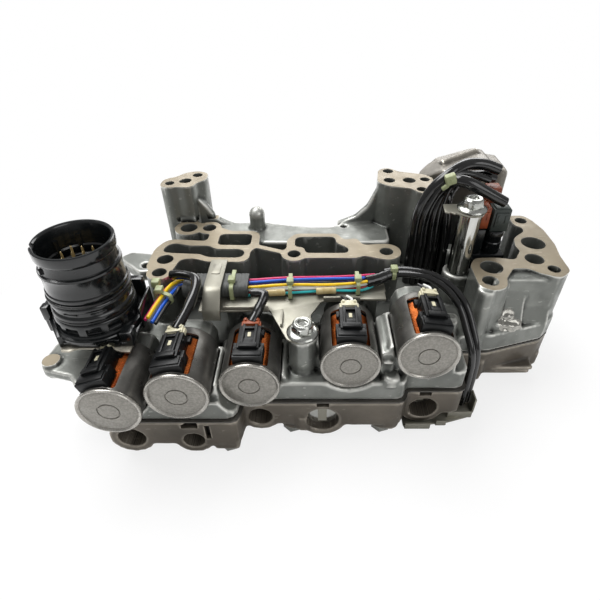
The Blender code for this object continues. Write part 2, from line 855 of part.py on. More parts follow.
def upper_holes():
    """Screw holes for the loose plates, and the holes in the wing, the lug and the front shelf."""
    places = (
        (*CONNECTOR_POSTS[0], RETAINING_BOTTOM, 2.0),
        (*CONNECTOR_POSTS[1], RETAINING_BOTTOM, 2.0),
        (*FRONT_POST, TRAY_BOTTOM, TOP_BOLT_RADIUS + GAP),
        (*SLEEVE_PLACE, SLEEVE_SEAT_TOP, TOP_BOLT_RADIUS + GAP),
        (-104.0, 18.0, LUG_TOP, 3.0),
        (26.0, 55.0, REAR_PLATE_TOP, 2.2),
    )
    depth = 14.0
    holes = []
    for number, (x, y, top, radius) in enumerate(places):
        holes.append(rod(f"screw_hole_{number}", (x, y, top - depth), (x, y, top + 1), radius, HOLE_SIDES))
    return holes


def make_upper_body():
    """One light aluminium casting."""
    body = prism("upper_body", footprint(SEAM_INSET), UPPER_BOTTOM, DECK)
    join(body, *gallery_walls(), *rear_wall(), *tower(), *side_lugs(), *solenoid_seats())
    cut(body, *gallery_pockets(), *rear_holes(), *tower_holes(), *solenoid_cuts(), *upper_holes())
    paint(body, *LIGHT_ALUMINIUM)


def make_lower_body():
    """One dark aluminium casting with the five valve bores."""
    body = prism("lower_body", footprint(0.0), LOWER_BOTTOM, SEAM)
    lobes = []
    for number, bore in enumerate(BORES, 1):
        start = (bore.x, bore.front, bore.z)
        end = (bore.x, bore.front + BORE_LOBE_LENGTH, bore.z)
        lobes.append(rod(f"lobe_{number}", start, end, bore.radius + BORE_WALL, LOBE_SIDES))
    pads = []
    for number, (x, y) in enumerate(FEET):
        pads.append(rod(f"foot_{number}", (x, y, 0.0), (x, y, LOWER_BOTTOM + 3), FOOT_RADIUS, LOBE_SIDES))
    for number, (x, y) in enumerate(BOLT_PLACES):
        pad = rod(f"pad_{number}", (x, y, PAD_BOTTOM), (x, y, LOWER_BOTTOM + 3), BOLT_PAD_RADIUS, LOBE_SIDES)
        pads.append(pad)
    foot_height, foot_size = 6.0, 14.0
    feet = (
        box(
            "left_foot",
            (-37 - foot_size, FRONT_LEFT + 0.5, LOWER_BOTTOM - foot_height),
            (-37, FRONT_LEFT + 30, LOWER_BOTTOM + 2),
        ),
        prism(
            "pump_cover",
            rounded(
                [
                    (99, -27, 4),
                    (TOWER_END - 11.8, -13, 8),
                    (TOWER_END - 5.8, 4, 8),
                    (120, 14, 6),
                    (99, 4, 6),
                ]
            ),
            LOWER_BOTTOM - foot_height,
            LOWER_BOTTOM + 2,
        ),
    )
    join(body, *lobes, *pads, *feet)
    cutters = []
    for number, bore in enumerate(BORES, 1):
        start = (bore.x, bore.front - 1, bore.z)
        end = (bore.x, bore.front + BORE_DEPTH, bore.z)
        cutters.append(rod(f"bore_{number}", start, end, bore.radius, BORE_SIDES))
        depth = bore.front + bore.retainer_depth
        half = RETAINER_WIDTH / 2 + GAP
        cutters.append(
            box(
                f"retainer_slot_{number}",
                (bore.x - half, depth - GAP, retainer_bottom(bore) - GAP),
                (bore.x + half, depth + RETAINER_THICKNESS + GAP, SEAM + 1),
            )
        )
        window = RETAINER_WINDOW / 2
        cutters.append(
            box(
                f"front_window_{number}",
                (bore.x - window, bore.front - 1, SEAM - 2.8),
                (bore.x + window, bore.front + 2.2, SEAM + 1),
            )
        )
    for number, (x, y) in enumerate(BOLT_PLACES):
        start = (x, y, PAD_BOTTOM - 1)
        end = (x, y, PAD_BOTTOM + BOLT_GRIP)
        cutters.append(rod(f"bolt_hole_{number}", start, end, BOLT_RADIUS + GAP, HOLE_SIDES))
    cutters.append(
        box("relief_slot", (-44.5, FRONT_LEFT - 1, 17.0), (-42.2, FRONT_LEFT + 6, SEAM - 3.5))
    )
    cut(body, *cutters)
    paint(body, *DARK_ALUMINIUM)


def retainer_bottom(bore):
    return bore.z - bore.radius * 0.45


def make_separator_plate():
    """The thin steel sheet between the castings, with oil holes."""
    holes = [circle(-84 + 18 * step, -10 + 14 * (step % 2), 2.4, 8) for step in range(11)]
    bottom = SEAM + GAP
    plate = prism(
        "separator_plate",
        footprint(-0.4),
        bottom,
        bottom + SEPARATOR_THICKNESS,
        holes,
    )
    paint(plate, *STEEL)


def make_cans():
    """Each can is a turned steel shell with a window in its top for the connector."""
    radius, length = CAN_RADIUS, CAN_LENGTH
    profile = [
        (0.0, length + NOSE_LENGTH),
        (NOSE_RADIUS - 1.0, length + NOSE_LENGTH),
        (NOSE_RADIUS, length + NOSE_LENGTH - 1.0),
        (NOSE_RADIUS, length),
        (radius - RIM_STEP - 1.0, length),
        (radius - RIM_STEP, length - 1.0),
        (radius - RIM_STEP, RIM_LENGTH),
        (radius, RIM_LENGTH - 0.3),
        (radius, 0.5),
        (radius - 0.8, 0.0),
        (0.0, 0.0),
    ]
    for number, solenoid in enumerate(SOLENOIDS, 1):
        x, face, z = solenoid.x, can_face(solenoid), solenoid.z
        can = turned(f"solenoid_can_{number}", profile, (x, face, z), "Y")
        hollow = rod(
            f"can_hollow_{number}",
            (x, face + CAN_FRONT_WALL, z),
            (x, solenoid.seat_y - CAN_BACK_WALL, z),
            CAN_RADIUS - CAN_WALL,
        )
        half = WINDOW_WIDTH / 2
        window = box(
            f"can_window_{number}",
            (x - half, face + WINDOW_START, z + WINDOW_FLOOR),
            (x + half, face + WINDOW_START + WINDOW_LENGTH, z + CAN_RADIUS + 2),
        )
        lean(solenoid, can, hollow, window)
        cut(can, hollow, window)
        paint(can, *STEEL)


def make_plungers():
    for number, solenoid in enumerate(SOLENOIDS, 1):
        start = CAN_FRONT_WALL + GAP + PLUNGER_TRAVEL
        end = start + PLUNGER_LENGTH
        profile = [
            (0.0, end + 4.0),
            (1.6, end + 4.0),
            (1.6, end),
            (PLUNGER_RADIUS - 0.5, end),
            (PLUNGER_RADIUS, end - 0.5),
            (PLUNGER_RADIUS, start),
            (0.0, start),
        ]
        place = (solenoid.x, can_face(solenoid), solenoid.z)
        plunger = turned(f"plunger_{number}", profile, place, "Y", LOBE_SIDES)
        paint(plunger, *BRIGHT_STEEL)


def make_coils():
    """Each coil is moulded in one with the black connector housing in the can's window."""
    for number, solenoid in enumerate(SOLENOIDS, 1):
        x, face, z = solenoid.x, can_face(solenoid), solenoid.z
        floor = z + COIL_RADIUS - 1.5
        top = z + CAN_RADIUS + HOUSING_RISE
        front = face + WINDOW_START + GAP
        shelf = top - HOUSING_STEP
        side = [
            (front, floor),
            (front + HOUSING_LENGTH, floor),
            (front + HOUSING_LENGTH, top - 2.0),
            (front + HOUSING_LENGTH - 2.0, top),
            (front + 10.0, top),
            (front + 9.0, top - 1.4),
            (front + 7.4, top - 1.4),
            (front + 7.0, shelf),
            (front, shelf),
        ]
        coil_start = face + CAN_FRONT_WALL + GAP
        coil_end = solenoid.seat_y - CAN_BACK_WALL - GAP
        bm = bmesh.new()
        add_ring(bm, x, z, coil_start, coil_end)
        coil = link_mesh(f"solenoid_coil_{number}", bm)
        neck, wide = HOUSING_NECK / 2, HOUSING_WIDTH / 2
        housing = prism(f"housing_{number}", side, x - neck, x + neck, axis="X")
        block = box(
            f"housing_block_{number}",
            (x - wide, front + 0.02, floor + 0.1),
            (x + wide, front + HOUSING_FRONT, shelf - 0.02),
        )
        shoulder = box(
            f"housing_shoulder_{number}",
            (x - wide, front + HOUSING_FRONT - 0.5, floor + 0.1),
            (x + wide, front + HOUSING_FRONT + 4.0, shelf - 2.2),
        )
        light = box(
            f"housing_window_{number}",
            (x - 1.7, front + 13.0, top - 1.6),
            (x + 1.7, front + 17.0, top + 1.0),
        )
        lean(solenoid, coil, housing, block, shoulder, light)
        join(coil, housing, block, shoulder)
        cut(coil, light)
        paint(coil, *BLACK_PLASTIC)


def add_ring(bm, x, z, start, end):
    """A thick ring along Y, bridged from two circles at each end."""
    loops = []
    for y, radius in ((start, COIL_BORE), (start, COIL_RADIUS), (end, COIL_RADIUS), (end, COIL_BORE)):
        points = circle(x, z, radius)
        loops.append([bm.verts.new((point.x, y, point.y)) for point in points])
    for index in range(4):
        first, second = loops[index], loops[(index + 1) % 4]
        for side in range(SIDES):
            after = (side + 1) % SIDES
            bm.faces.new((first[side], first[after], second[after], second[side]))


def make_terminal_clips():
    """A clip behind each housing; two of them hold the sheath of their lead."""
    for number, solenoid in enumerate(SOLENOIDS, 1):
        if number == BARE_SOLENOID:
            continue
        x = solenoid.x
        front = can_face(solenoid) + WINDOW_START + GAP + HOUSING_LENGTH + GAP
        low = solenoid.z + CAN_RADIUS + GAP
        half = CLIP_WIDTH / 2
        back, high = front + CLIP_LENGTH, low + CLIP_HEIGHT
        clip = box(f"terminal_clip_{number}", (x - half, front, low), (x + half, back, high))
        lean(solenoid, clip)
        if number in LEADS:
            end = Vector((x + 0.3, back - 2.0, (low + high) / 2 + 0.4))
            route = [*LEADS[number], lean_of(solenoid) @ end]
            join(clip, tubes(f"lead_{number}", [route], LEAD_RADIUS, 6.0, 2))
        paint(clip, *(ORANGE_PLASTIC if number == ORANGE_CLIP else CREAM_PLASTIC))


def spool_start(bore):
    return bore.front + bore.retainer_depth + RETAINER_THICKNESS + GAP


def make_valves():
    """For each bore its spool, with three lands, its spring and the plate that holds it in."""
    for number, bore in enumerate(BORES, 1):
        land = bore.radius - SLIDING_GAP
        neck = land - SPOOL_NECK
        middle = (SPOOL_LENGTH - LAND_LENGTH) / 2
        profile = [
            (0.0, SPOOL_LENGTH),
            (land, SPOOL_LENGTH),
            (land, SPOOL_LENGTH - LAND_LENGTH),
            (neck, SPOOL_LENGTH - LAND_LENGTH),
            (neck, middle + LAND_LENGTH),
            (land, middle + LAND_LENGTH),
            (land, middle),
            (neck, middle),
            (neck, LAND_LENGTH),
            (land, LAND_LENGTH),
            (land, 0.0),
            (0.0, 0.0),
        ]
        start = spool_start(bore)
        spool = turned(f"spool_{number}", profile, (bore.x, start, bore.z), "Y", BORE_SIDES)
        paint(spool, *BRIGHT_STEEL)
        make_spring(number, bore, start + SPOOL_LENGTH + GAP, bore.front + BORE_DEPTH - GAP)
        front = bore.front + bore.retainer_depth
        half = RETAINER_WIDTH / 2
        retainer = box(
            f"spool_retainer_{number}",
            (bore.x - half, front, retainer_bottom(bore)),
            (bore.x + half, front + RETAINER_THICKNESS, SEAM - GAP),
        )
        paint(retainer, *ZINC)


def make_spring(number, bore, start, end):
    """A coil spring along the bore."""
    radius = bore.radius - SLIDING_GAP - SPRING_WIRE - 0.9
    low, high = start + SPRING_WIRE + 0.1, end - SPRING_WIRE - 0.1
    count = SPRING_TURNS * SPRING_POINTS
    curve = bpy.data.curves.new(f"spool_spring_{number}", "CURVE")
    curve.dimensions = "3D"
    curve.bevel_depth = SPRING_WIRE * MM
    curve.bevel_resolution = 0
    curve.use_fill_caps = True
    spline = curve.splines.new("POLY")
    spline.points.add(count)
    for index in range(count + 1):
        angle = math.tau * index / SPRING_POINTS
        y = low + (high - low) * index / count
        place = Vector((bore.x + radius * math.cos(angle), y, bore.z + radius * math.sin(angle)))
        spline.points[index].co = (*(place * MM), 1.0)
    spring = bpy.data.objects.new(curve.name, curve)
    PARTS.objects.link(spring)
    paint(to_mesh(spring), *BRIGHT_STEEL)


def make_bottom_bolts():
    """Hex bolts under the lower casting, which stands on their heads."""
    for number, (x, y) in enumerate(BOLT_PLACES, 1):
        head = bmesh.new()
        add_rod(head, (x, y, 0.0), (x, y, BOLT_HEAD_HEIGHT), BOLT_HEAD_RADIUS, 6)
        bolt = link_mesh(f"bottom_bolt_{number}", head)
        end = (x, y, PAD_BOTTOM + BOLT_GRIP - GAP)
        join(bolt, rod(f"bolt_shank_{number}", (x, y, 1.0), end, BOLT_RADIUS, 12))
        paint(bolt, *BRIGHT_STEEL)


def flange_bolt(name, x, y, seat, grip):
    """A bolt with a round flange, its head up."""
    top = seat + FLANGE_THICKNESS + HEAD_HEIGHT
    profile = [
        (0.0, top),
        (TOP_BOLT_RADIUS + 1.6, top),
        (TOP_BOLT_RADIUS + 2.4, top - 0.8),
        (TOP_BOLT_RADIUS + 2.4, seat + FLANGE_THICKNESS + 0.6),
        (FLANGE_RADIUS - 0.6, seat + FLANGE_THICKNESS),
        (FLANGE_RADIUS, seat + 0.6),
        (FLANGE_RADIUS, seat),
        (TOP_BOLT_RADIUS, seat),
        (TOP_BOLT_RADIUS, seat - grip),
        (0.0, seat - grip),
    ]
    return turned(name, profile, (x, y, 0.0), sides=LOBE_SIDES)


def sleeve_top():
    return SLEEVE_SEAT_TOP + GAP + SLEEVE_LENGTH


def make_steel_sleeve():
    """The polished spacer tube, the tab on its top and the two flange bolts."""
    x, y = SLEEVE_PLACE
    top = sleeve_top()
    profile = [
        (SLEEVE_BORE, top),
        (SLEEVE_RADIUS, top),
        (SLEEVE_RADIUS, top - SLEEVE_LENGTH),
        (SLEEVE_BORE, top - SLEEVE_LENGTH),
    ]
    paint(turned("steel_sleeve", profile, (x, y, 0.0), closed=True, sides=24), *BRIGHT_STEEL)
    low = top + GAP
    tab = [(x - 16, y - 3, 1), (x - 4, y - 9, 3), (x + 8, y - 6, 5), (x + 8, y + 7, 6), (x - 15, y + 7, 2)]
    hole = circle(x, y, TOP_BOLT_RADIUS + GAP, HOLE_SIDES)
    paint(prism("sleeve_tab", rounded(tab), low, low + SHEET, [hole]), *ZINC)
    seat = low + SHEET + GAP
    rear = flange_bolt("sleeve_bolt", x, y, seat, seat - SLEEVE_SEAT_TOP + 10.0)
    front = flange_bolt("front_bolt", *FRONT_POST, TRAY_TOP + GAP, 12.0)
    paint(rear, *BRIGHT_STEEL)
    paint(front, *BRIGHT_STEEL)


def make_connector():
    """The round case connector: shell, pins, seals, base and retaining plate."""
    x, y = CONNECTOR_X, CONNECTOR_Y
    radius, top, bottom = CONNECTOR_RADIUS, CONNECTOR_TOP, CONNECTOR_BOTTOM
    groove = radius - SEAL_DEPTH
    profile = [
        (0.0, SOCKET_FLOOR),
        (SOCKET_RADIUS, SOCKET_FLOOR),
        (SOCKET_RADIUS, top - 0.6),
        (SOCKET_RADIUS + 0.6, top),
        (RIM_RADIUS - 0.5, top),
        (RIM_RADIUS, top - 0.6),
        (RIM_RADIUS, top - 5.4),
        (RIM_RADIUS - 0.9, top - 6.6),
        (RIM_RADIUS - 0.9, top - 11.6),
        (RIM_RADIUS + 0.4, top - 12.4),
        (RIM_RADIUS + 0.4, top - 14.0),
        (RIM_RADIUS, top - 14.8),
        (RIM_RADIUS, SEAL_LEVEL + SEAL_WIDTH * 1.5),
    ]
    profile += [
        (radius, SEAL_LEVEL + SEAL_WIDTH / 2),
        (groove, SEAL_LEVEL + SEAL_WIDTH / 2),
        (groove, SEAL_LEVEL - SEAL_WIDTH / 2),
        (radius, SEAL_LEVEL - SEAL_WIDTH / 2),
        (radius, bottom + 9.4),
        (radius + 0.9, bottom + 8.6),
        (radius + 0.9, bottom + 3.0),
        (radius + 3.4, bottom + 2.4),
        (radius + 3.4, bottom),
        (0.0, bottom),
    ]
    shell = turned("connector_shell", profile, (x, y, 0.0), sides=SIDES)
    windows = bmesh.new()
    for number in range(CONNECTOR_WINDOWS):
        turn = Matrix.Rotation(math.tau * number / CONNECTOR_WINDOWS, 4, "Z")
        place = Matrix.Translation((x, y, bottom + 5.8)) @ turn
        shift = Matrix.Translation((radius + 1.0, 0.0, 0.0)) @ Matrix.Diagonal((4.0, 6.4, 4.4, 1.0))
        bmesh.ops.create_cube(windows, size=1.0, matrix=place @ shift)
    cut(shell, link_mesh("connector_windows", windows))
    paint(shell, *BLACK_PLASTIC)
    inner, outer = groove + GAP, radius + 0.5
    half = SEAL_WIDTH / 2 - GAP
    ring = [
        (outer - 0.5, SEAL_LEVEL + half),
        (outer, SEAL_LEVEL),
        (outer - 0.5, SEAL_LEVEL - half),
        (inner, SEAL_LEVEL - half),
        (inner, SEAL_LEVEL + half),
    ]
    paint(turned("connector_seal", ring, (x, y, 0.0), closed=True, sides=SIDES), *BLACK_RUBBER)
    pins = bmesh.new()
    for row, count in enumerate(PIN_ROWS):
        pin_y = y + (row - (len(PIN_ROWS) - 1) / 2) * PIN_PITCH
        for number in range(count):
            pin_x = x + (number - (count - 1) / 2) * PIN_PITCH
            base = (pin_x, pin_y, SOCKET_FLOOR + GAP + INSERT_THICKNESS / 2)
            add_rod(pins, base, (pin_x, pin_y, base[2] + PIN_HEIGHT), PIN_RADIUS, 6)
    insert_low = (x, y, SOCKET_FLOOR + GAP)
    insert_high = (x, y, SOCKET_FLOOR + GAP + INSERT_THICKNESS)
    insert = rod("connector_pins", insert_low, insert_high, SOCKET_RADIUS - GAP, SIDES)
    join(insert, link_mesh("pins", pins))
    paint(insert, *GOLD)
    make_connector_base(x, y)


def make_connector_base(x, y):
    outline = [
        (x - 24.5, y - 6, 3),
        (x - 12.5, y - 21, 3),
        (x + 24, y - 21, 4),
        (x + 24, y + 22, 6),
        (x - 24.5, y + 22, 6),
    ]
    base = prism("connector_base", rounded(outline), BASE_BOTTOM, BASE_BOTTOM + BASE_THICKNESS)
    lug_top = CONNECTOR_BOTTOM + 10.0
    wall = CONNECTOR_RADIUS + 3.4 + GAP
    left = box("left_lug", (x - 27.5, y - 5, BASE_BOTTOM - 1.0), (x - wall, y + 10, lug_top))
    right = box("right_lug", (x + wall, y - 6, BASE_BOTTOM - 1.0), (x + 25.2, y + 14, lug_top + 2))
    join(base, left, right)
    paint(base, *BLACK_PLASTIC)
    sheet = [
        (x - 22.5, y - 6, 3),
        (x - 12.5, y - 24.0, 1),
        (x - 8, y - 24.5, 2),
        (x - 5, y - 22, 2),
        (x + 12, y - 22, 3),
        (x + 18, y - 24.5, 2),
        (x + 23, y - 25, 1),
        (x + 23, y + 20, 4),
        (x - 22.5, y + 20, 4),
    ]
    low = RETAINING_BOTTOM
    plate = prism("retaining_plate", rounded(sheet), low, low + RETAINING_THICKNESS)
    paint(plate, *STEEL)


def make_rear_cover():
    """A thin cast lid, open below, whose top slopes up to the right under a rounded ridge."""
    left, front, right, back = COVER_LEFT, COVER_FRONT, COVER_RIGHT, COVER_BACK
    outline = [
        (left - COVER_REACH, back - 11, 3),
        (left + 1, front + 6, 4),
        (left + 6, front, 4),
        (right, front, 5),
        (right, back, 5),
        (left - COVER_REACH, back, 5),
    ]
    low = COVER_SEAT + GAP
    inner = [
        (left + COVER_WALL + 2, front + COVER_WALL + 4, 3),
        (right - COVER_WALL, front + COVER_WALL + 4, 3),
        (right - COVER_WALL, back - COVER_WALL, 3),
        (left + COVER_WALL + 2, back - COVER_WALL, 3),
    ]
    side = [
        (left - COVER_REACH - 1, low),
        (left - COVER_REACH - 1, COVER_TOP - 20),
        (left + 5, COVER_TOP - 8),
        (left + 29, COVER_TOP - 1),
        (left + 36, COVER_TOP - 2),
        (left + 38, COVER_TOP - 5),
        (right - 4, COVER_TOP - 6),
        (right + 1, COVER_TOP - 12),
        (right + 1, low),
    ]
    cover = prism("rear_cover", rounded(outline), low, COVER_TOP + 1)
    slope = prism("cover_slope", side, front - 1, back + 1, axis="Y")
    common = cover.modifiers.new("slope", "BOOLEAN")
    common.operation = "INTERSECT"
    common.object = slope
    retire(slope)
    ridge_low = (left + 6, back - 13, COVER_TOP - 8.5)
    ridge_high = (left + 31, back - 7, COVER_TOP - 2.0)
    ridge = rod("cover_ridge", ridge_low, ridge_high, RIDGE_RADIUS, LOBE_SIDES)
    join(cover, ridge)
    hollow = prism("cover_hollow", rounded(inner), low - 1, COVER_TOP - 20 - COVER_WALL)
    cut(cover, hollow)
    paint(cover, *LIGHT_ALUMINIUM)


def make_tray():
    """The harness tray with its strap to the front bolt, and the bracket over the sleeve."""
    post_x, post_y = FRONT_POST
    outline = [
        (-60, -37.0, 1),
        (-47, -37.0, 1),
        (-47, -33.5, 1),
        (-18, -33.5, 2),
        (post_x - 8, post_y - 6, 4),
        (post_x + 6, post_y - 7, 5),
        (post_x + 6, post_y + 6, 4),
        (2, -33, 3),
        (9, -25, 3),
        (30, -24, 3),
        (47, -17, 2),
        (47, -6, 2),
        (-60, -5, 2),
    ]
    hole = circle(post_x, post_y, TOP_BOLT_RADIUS + GAP, HOLE_SIDES)
    tray = prism("harness_tray", rounded(outline), TRAY_BOTTOM, TRAY_TOP, [hole])
    thick = BRACKET_THICKNESS
    over = TRAY_TOP + GAP + HARNESS_SLEEVE_HEIGHT + GAP
    front = -37.5
    side = [
        (front, 66.0),
        (front, 73.0),
        (-28.5, over + thick),
        (1.2, over + thick),
        (1.2, over),
        (-27.9, over),
        (front + thick, 72.2),
        (front + thick, 66.0),
    ]
    join(tray, prism("sleeve_strap", side, -57.0, -47.1, axis="X"))
    paint(tray, *ZINC)


def make_lower_bracket():
    """The sheet bracket under the right block that holds the main cable."""
    low, high = 1.2, 2.7
    outline = [(58, -62, 1), (86, -58, 3), (103, -53, 3), (103, -41, 3), (90, -41, 2), (58, -52, 2)]
    sheet = prism("lower_bracket", rounded(outline), low, high)
    lip = box("bracket_lip", (59.0, -62.5, low), (74.0, -61.2, 5.5))
    hook = box("bracket_hook", (102.3, -51.0, low), (103.7, -42.0, 14.0))
    join(sheet, lip, hook)
    paint(sheet, *ZINC)


def make_harness():
    """Sleeve, coloured wires, leads, cables, splices and ties, each along its real route."""
    low = TRAY_TOP + GAP
    high = low + HARNESS_SLEEVE_HEIGHT
    front, back = HARNESS_SLEEVE_FRONT, HARNESS_SLEEVE_BACK
    section = rounded([(front, low, 4), (back, low, 4), (back, high, 4), (front, high, 4)])
    left, right = HARNESS_SLEEVE_LEFT, HARNESS_SLEEVE_RIGHT
    paint(prism("harness_sleeve", section, left, right, axis="X"), *GREY_PLASTIC)
    make_looms()
    make_cables()


def band(name, start, end, low, high):
    """A tie round a flat bundle of wires."""
    return prism(name, strip(start, end, TIE_WIDTH), low, high)


def make_looms():
    """The coloured wires on both sides of the sleeve, held together by ties."""
    low = TRAY_TOP + GAP
    left = band("wire_loom_left", (-84.5, -27.0), (-73.5, -32.5), 74.4, 79.8)
    left_wires = tubes("left_wires", [left_wire(*slot) for slot in LEFT_WIRES], WIRE_RADIUS, 8.0)
    join(left, left_wires)
    paint(left, *GREY_PLASTIC)
    right = band("wire_loom_right", (-9.0, -24.5), (-9.0, -8.5), low, low + 9.4)
    second = band("second_tie", (30.0, -21.0), (30.0, -6.0), low, low + 9.0)
    right_wires = tubes("right_wires", [right_wire(*slot) for slot in RIGHT_WIRES], WIRE_RADIUS, 12.0)
    splices = bmesh.new()
    for x, y in ((-23.0, -22.2), (6.0, -20.4)):
        height = low + WIRE_RADIUS + SPLICE_RADIUS
        add_rod(splices, (x, y, height), (x + 11, y + 0.8, height), SPLICE_RADIUS, 8)
    join(right, second, right_wires, link_mesh("splices", splices))
    paint(right, *GREY_PLASTIC)


def left_wire(column, row):
    """Route of a wire from the connector to the sleeve, in a grid of wires."""
    side, rise = column * WIRE_PITCH, row * WIRE_PITCH
    end = HARNESS_SLEEVE_LEFT - GAP
    return [
        (-84.6 + side * 0.9, -47.0 - side * 0.45, 75.0 + rise),
        (-82.2 + side * 0.9, -35.0 - side * 0.45, 76.0 + rise),
        (-79.0 + side * 0.85, -20.5 - side * 0.7, 76.0 + rise),
        (end - 2.5, -12.0 - side, 75.0 + rise),
        (end, -12.0 - side, 75.0 + rise),
    ]


def right_wire(column, row):
    """Route of a wire from the sleeve along the tray, in a grid of wires."""
    side, rise = column * WIRE_PITCH, row * WIRE_PITCH
    start = HARNESS_SLEEVE_RIGHT + GAP
    low = TRAY_TOP + WIRE_GAP + WIRE_RADIUS
    return [
        (start, -12.0 - side, low + rise),
        (start + 3.0, -12.0 - side, low + rise),
        (-12.0, -11.0 - side, low + rise + 0.6),
        (14.0, -9.6 - side, low + rise),
        (34.0, -8.0 - side, low + rise + 0.8),
        (46.0, -5.0 - side, low + rise + 2.0),
    ]


def make_cables():
    """The double main cable down the right side, and the bundle at the rear right."""
    pair = []
    for side in (0.0, 2 * CABLE_RADIUS + WIRE_GAP):
        pair.append(
            [
                (47.5, -7.5 + side, 75.0),
                (57.0 + side * 0.1, -8.5 + side, 77.5),
                (70.0 + side * 0.5, -13.5 + side * 0.86, 78.5),
                (80.0 + side * 0.8, -20.5 + side * 0.6, 75.5),
                (86.5 + side * 0.9, -30.0 + side * 0.44, 70.0),
                (90.5 + side * 0.9, -38.0 + side * 0.44, 60.0),
                (94.2 + side * 0.8, -46.0 + side * 0.6, 47.5),
                (95.8 + side * 0.8, -46.5 + side * 0.6, 31.0),
                (96.2 + side * 0.8, -46.5 + side * 0.6, 6.0),
            ]
        )
    cable = band("main_cable", (52.0, -10.0), (52.0, -0.8), 74.0, 78.6)
    join(cable, tubes("cable_pair", pair, CABLE_RADIUS, 7.0))
    paint(cable, *BLACK_RUBBER)
    foot = DECK + WIRE_GAP
    fan = [
        [
            (69.2, 27, foot),
            (69.0, 26.5, 75),
            (69.5, 26.5, 98),
            (74.5, 27, 112.5),
            (82.5, 28, 121.5),
            (91, 33, 125.5),
            (99, 38, 126.3),
            (109, 40, 124.6),
            (118.5, 40.5, 121.0),
        ],
        [
            (76.2, 27.6, foot),
            (76.0, 27.5, 75),
            (76.0, 27.5, 96),
            (79.5, 27.5, 110),
            (86.0, 25.5, 120.0),
            (92, 22.5, 121.5),
            (99, 20.8, 119.2),
            (110, 20.2, 113.6),
            (118.5, 20.4, 109.2),
        ],
        [
            (83.2, 27.2, foot),
            (83.0, 27.2, 75),
            (82.5, 28.0, 96),
            (84.5, 30.5, 110),
            (89.5, 33.0, 117.6),
            (96, 36.0, 118.8),
            (104, 39.5, 117.4),
            (112, 43.0, 116.2),
            (118.5, 45.2, 113.6),
        ],
        [
            (90.0, 27.5, foot),
            (89.6, 27.5, 75),
            (88.2, 28.6, 94),
            (87.2, 31.5, 106),
            (92.5, 38.0, 112.0),
            (101, 44.5, 113.0),
            (110, 48.5, 112.0),
        ],
    ]
    bundle = box("cable_bundle", (80.6, 22.2, 118.0), (87.4, 30.5, 126.0))
    join(bundle, *[tubes(f"cable_{index}", [route], BUNDLE_RADIUS, 10.0) for index, route in enumerate(fan)])
    paint(bundle, *BLACK_RUBBER)


def make_sensors():
    """The black sensor body in the rear right well and the connectors plugged into it."""
    low, top = DECK + GAP, 72.0
    neck_x, neck_y, neck_radius, neck_top = 120.0, 27.0, 6.0, 88.0
    front_top, back_top = 90.0, 109.6
    root = top - 2.0
    body = box("sensor_body", (106.0, 20.0, low), (128.0, 50.0, top))
    neck_low, neck_high = (neck_x, neck_y, root), (neck_x, neck_y, neck_top)
    towers = (
        rod("sensor_neck", neck_low, neck_high, neck_radius, HOLE_SIDES),
        box("sensor_front", (106.5, 21.0, root), (112.5, 31.0, front_top)),
        box("sensor_back", (114.8, 38.5, root), (123.5, 47.5, back_top)),
    )
    join(body, *towers)
    paint(body, *BLACK_PLASTIC)
    grey_outline = [
        (neck_x - 5.5, neck_y - 5.5, 1.5),
        (neck_x + 5.5, neck_y - 5.5, 1.5),
        (neck_x + 5.5, neck_y + 5.0, 1.5),
        (neck_x - 5.5, neck_y + 5.0, 1.5),
    ]
    grey_low = neck_top + GAP
    grey = prism("grey_connector", rounded(grey_outline), grey_low, grey_low + 16.2)
    paint(grey, *GREY_PLASTIC)
    orange_low = front_top + GAP
    orange = box("orange_connector", (105.6, 21.5, orange_low), (113.0, 31.5, orange_low + 15.7))
    paint(orange, *ORANGE_PLASTIC)


def seen_middle(things):
    """Middle of the things' bounding box, seen from above."""
    bpy.context.view_layer.update()
    graph = bpy.context.evaluated_depsgraph_get()
    corners = []
    for thing in things:
        evaluated = thing.evaluated_get(graph)
        corners += [evaluated.matrix_world @ Vector(corner) for corner in evaluated.bound_box]
    middle = [(min(c[axis] for c in corners) + max(c[axis] for c in corners)) / 2 for axis in (0, 1)]
    return Vector((*middle, 0.0))


for leftover in list(bpy.data.objects):
    bpy.data.objects.remove(leftover, do_unlink=True)
PARTS = new_collection("transmission_valve_body")
CUTTERS = new_collection("cutters")

make_upper_body()
make_lower_body()
make_separator_plate()
make_cans()
make_coils()
make_plungers()
make_terminal_clips()
make_valves()
make_bottom_bolts()
make_steel_sleeve()
make_connector()
make_rear_cover()
make_tray()
make_lower_bracket()
make_harness()
make_sensors()

middle = seen_middle(PARTS.objects)
frame = bpy.data.objects.new("frame", None)
PARTS.objects.link(frame)
for thing in [*PARTS.objects, *CUTTERS.objects]:
    if thing is not frame:
        thing.parent = frame
frame.location = -middle
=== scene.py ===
# Transmission valve body: looks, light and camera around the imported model.
# Places are written in millimetres on the part's own drawing axes; at() turns them into metres.

import json
import math
import random

import bmesh
import bpy
from mathutils import Matrix, Vector, noise


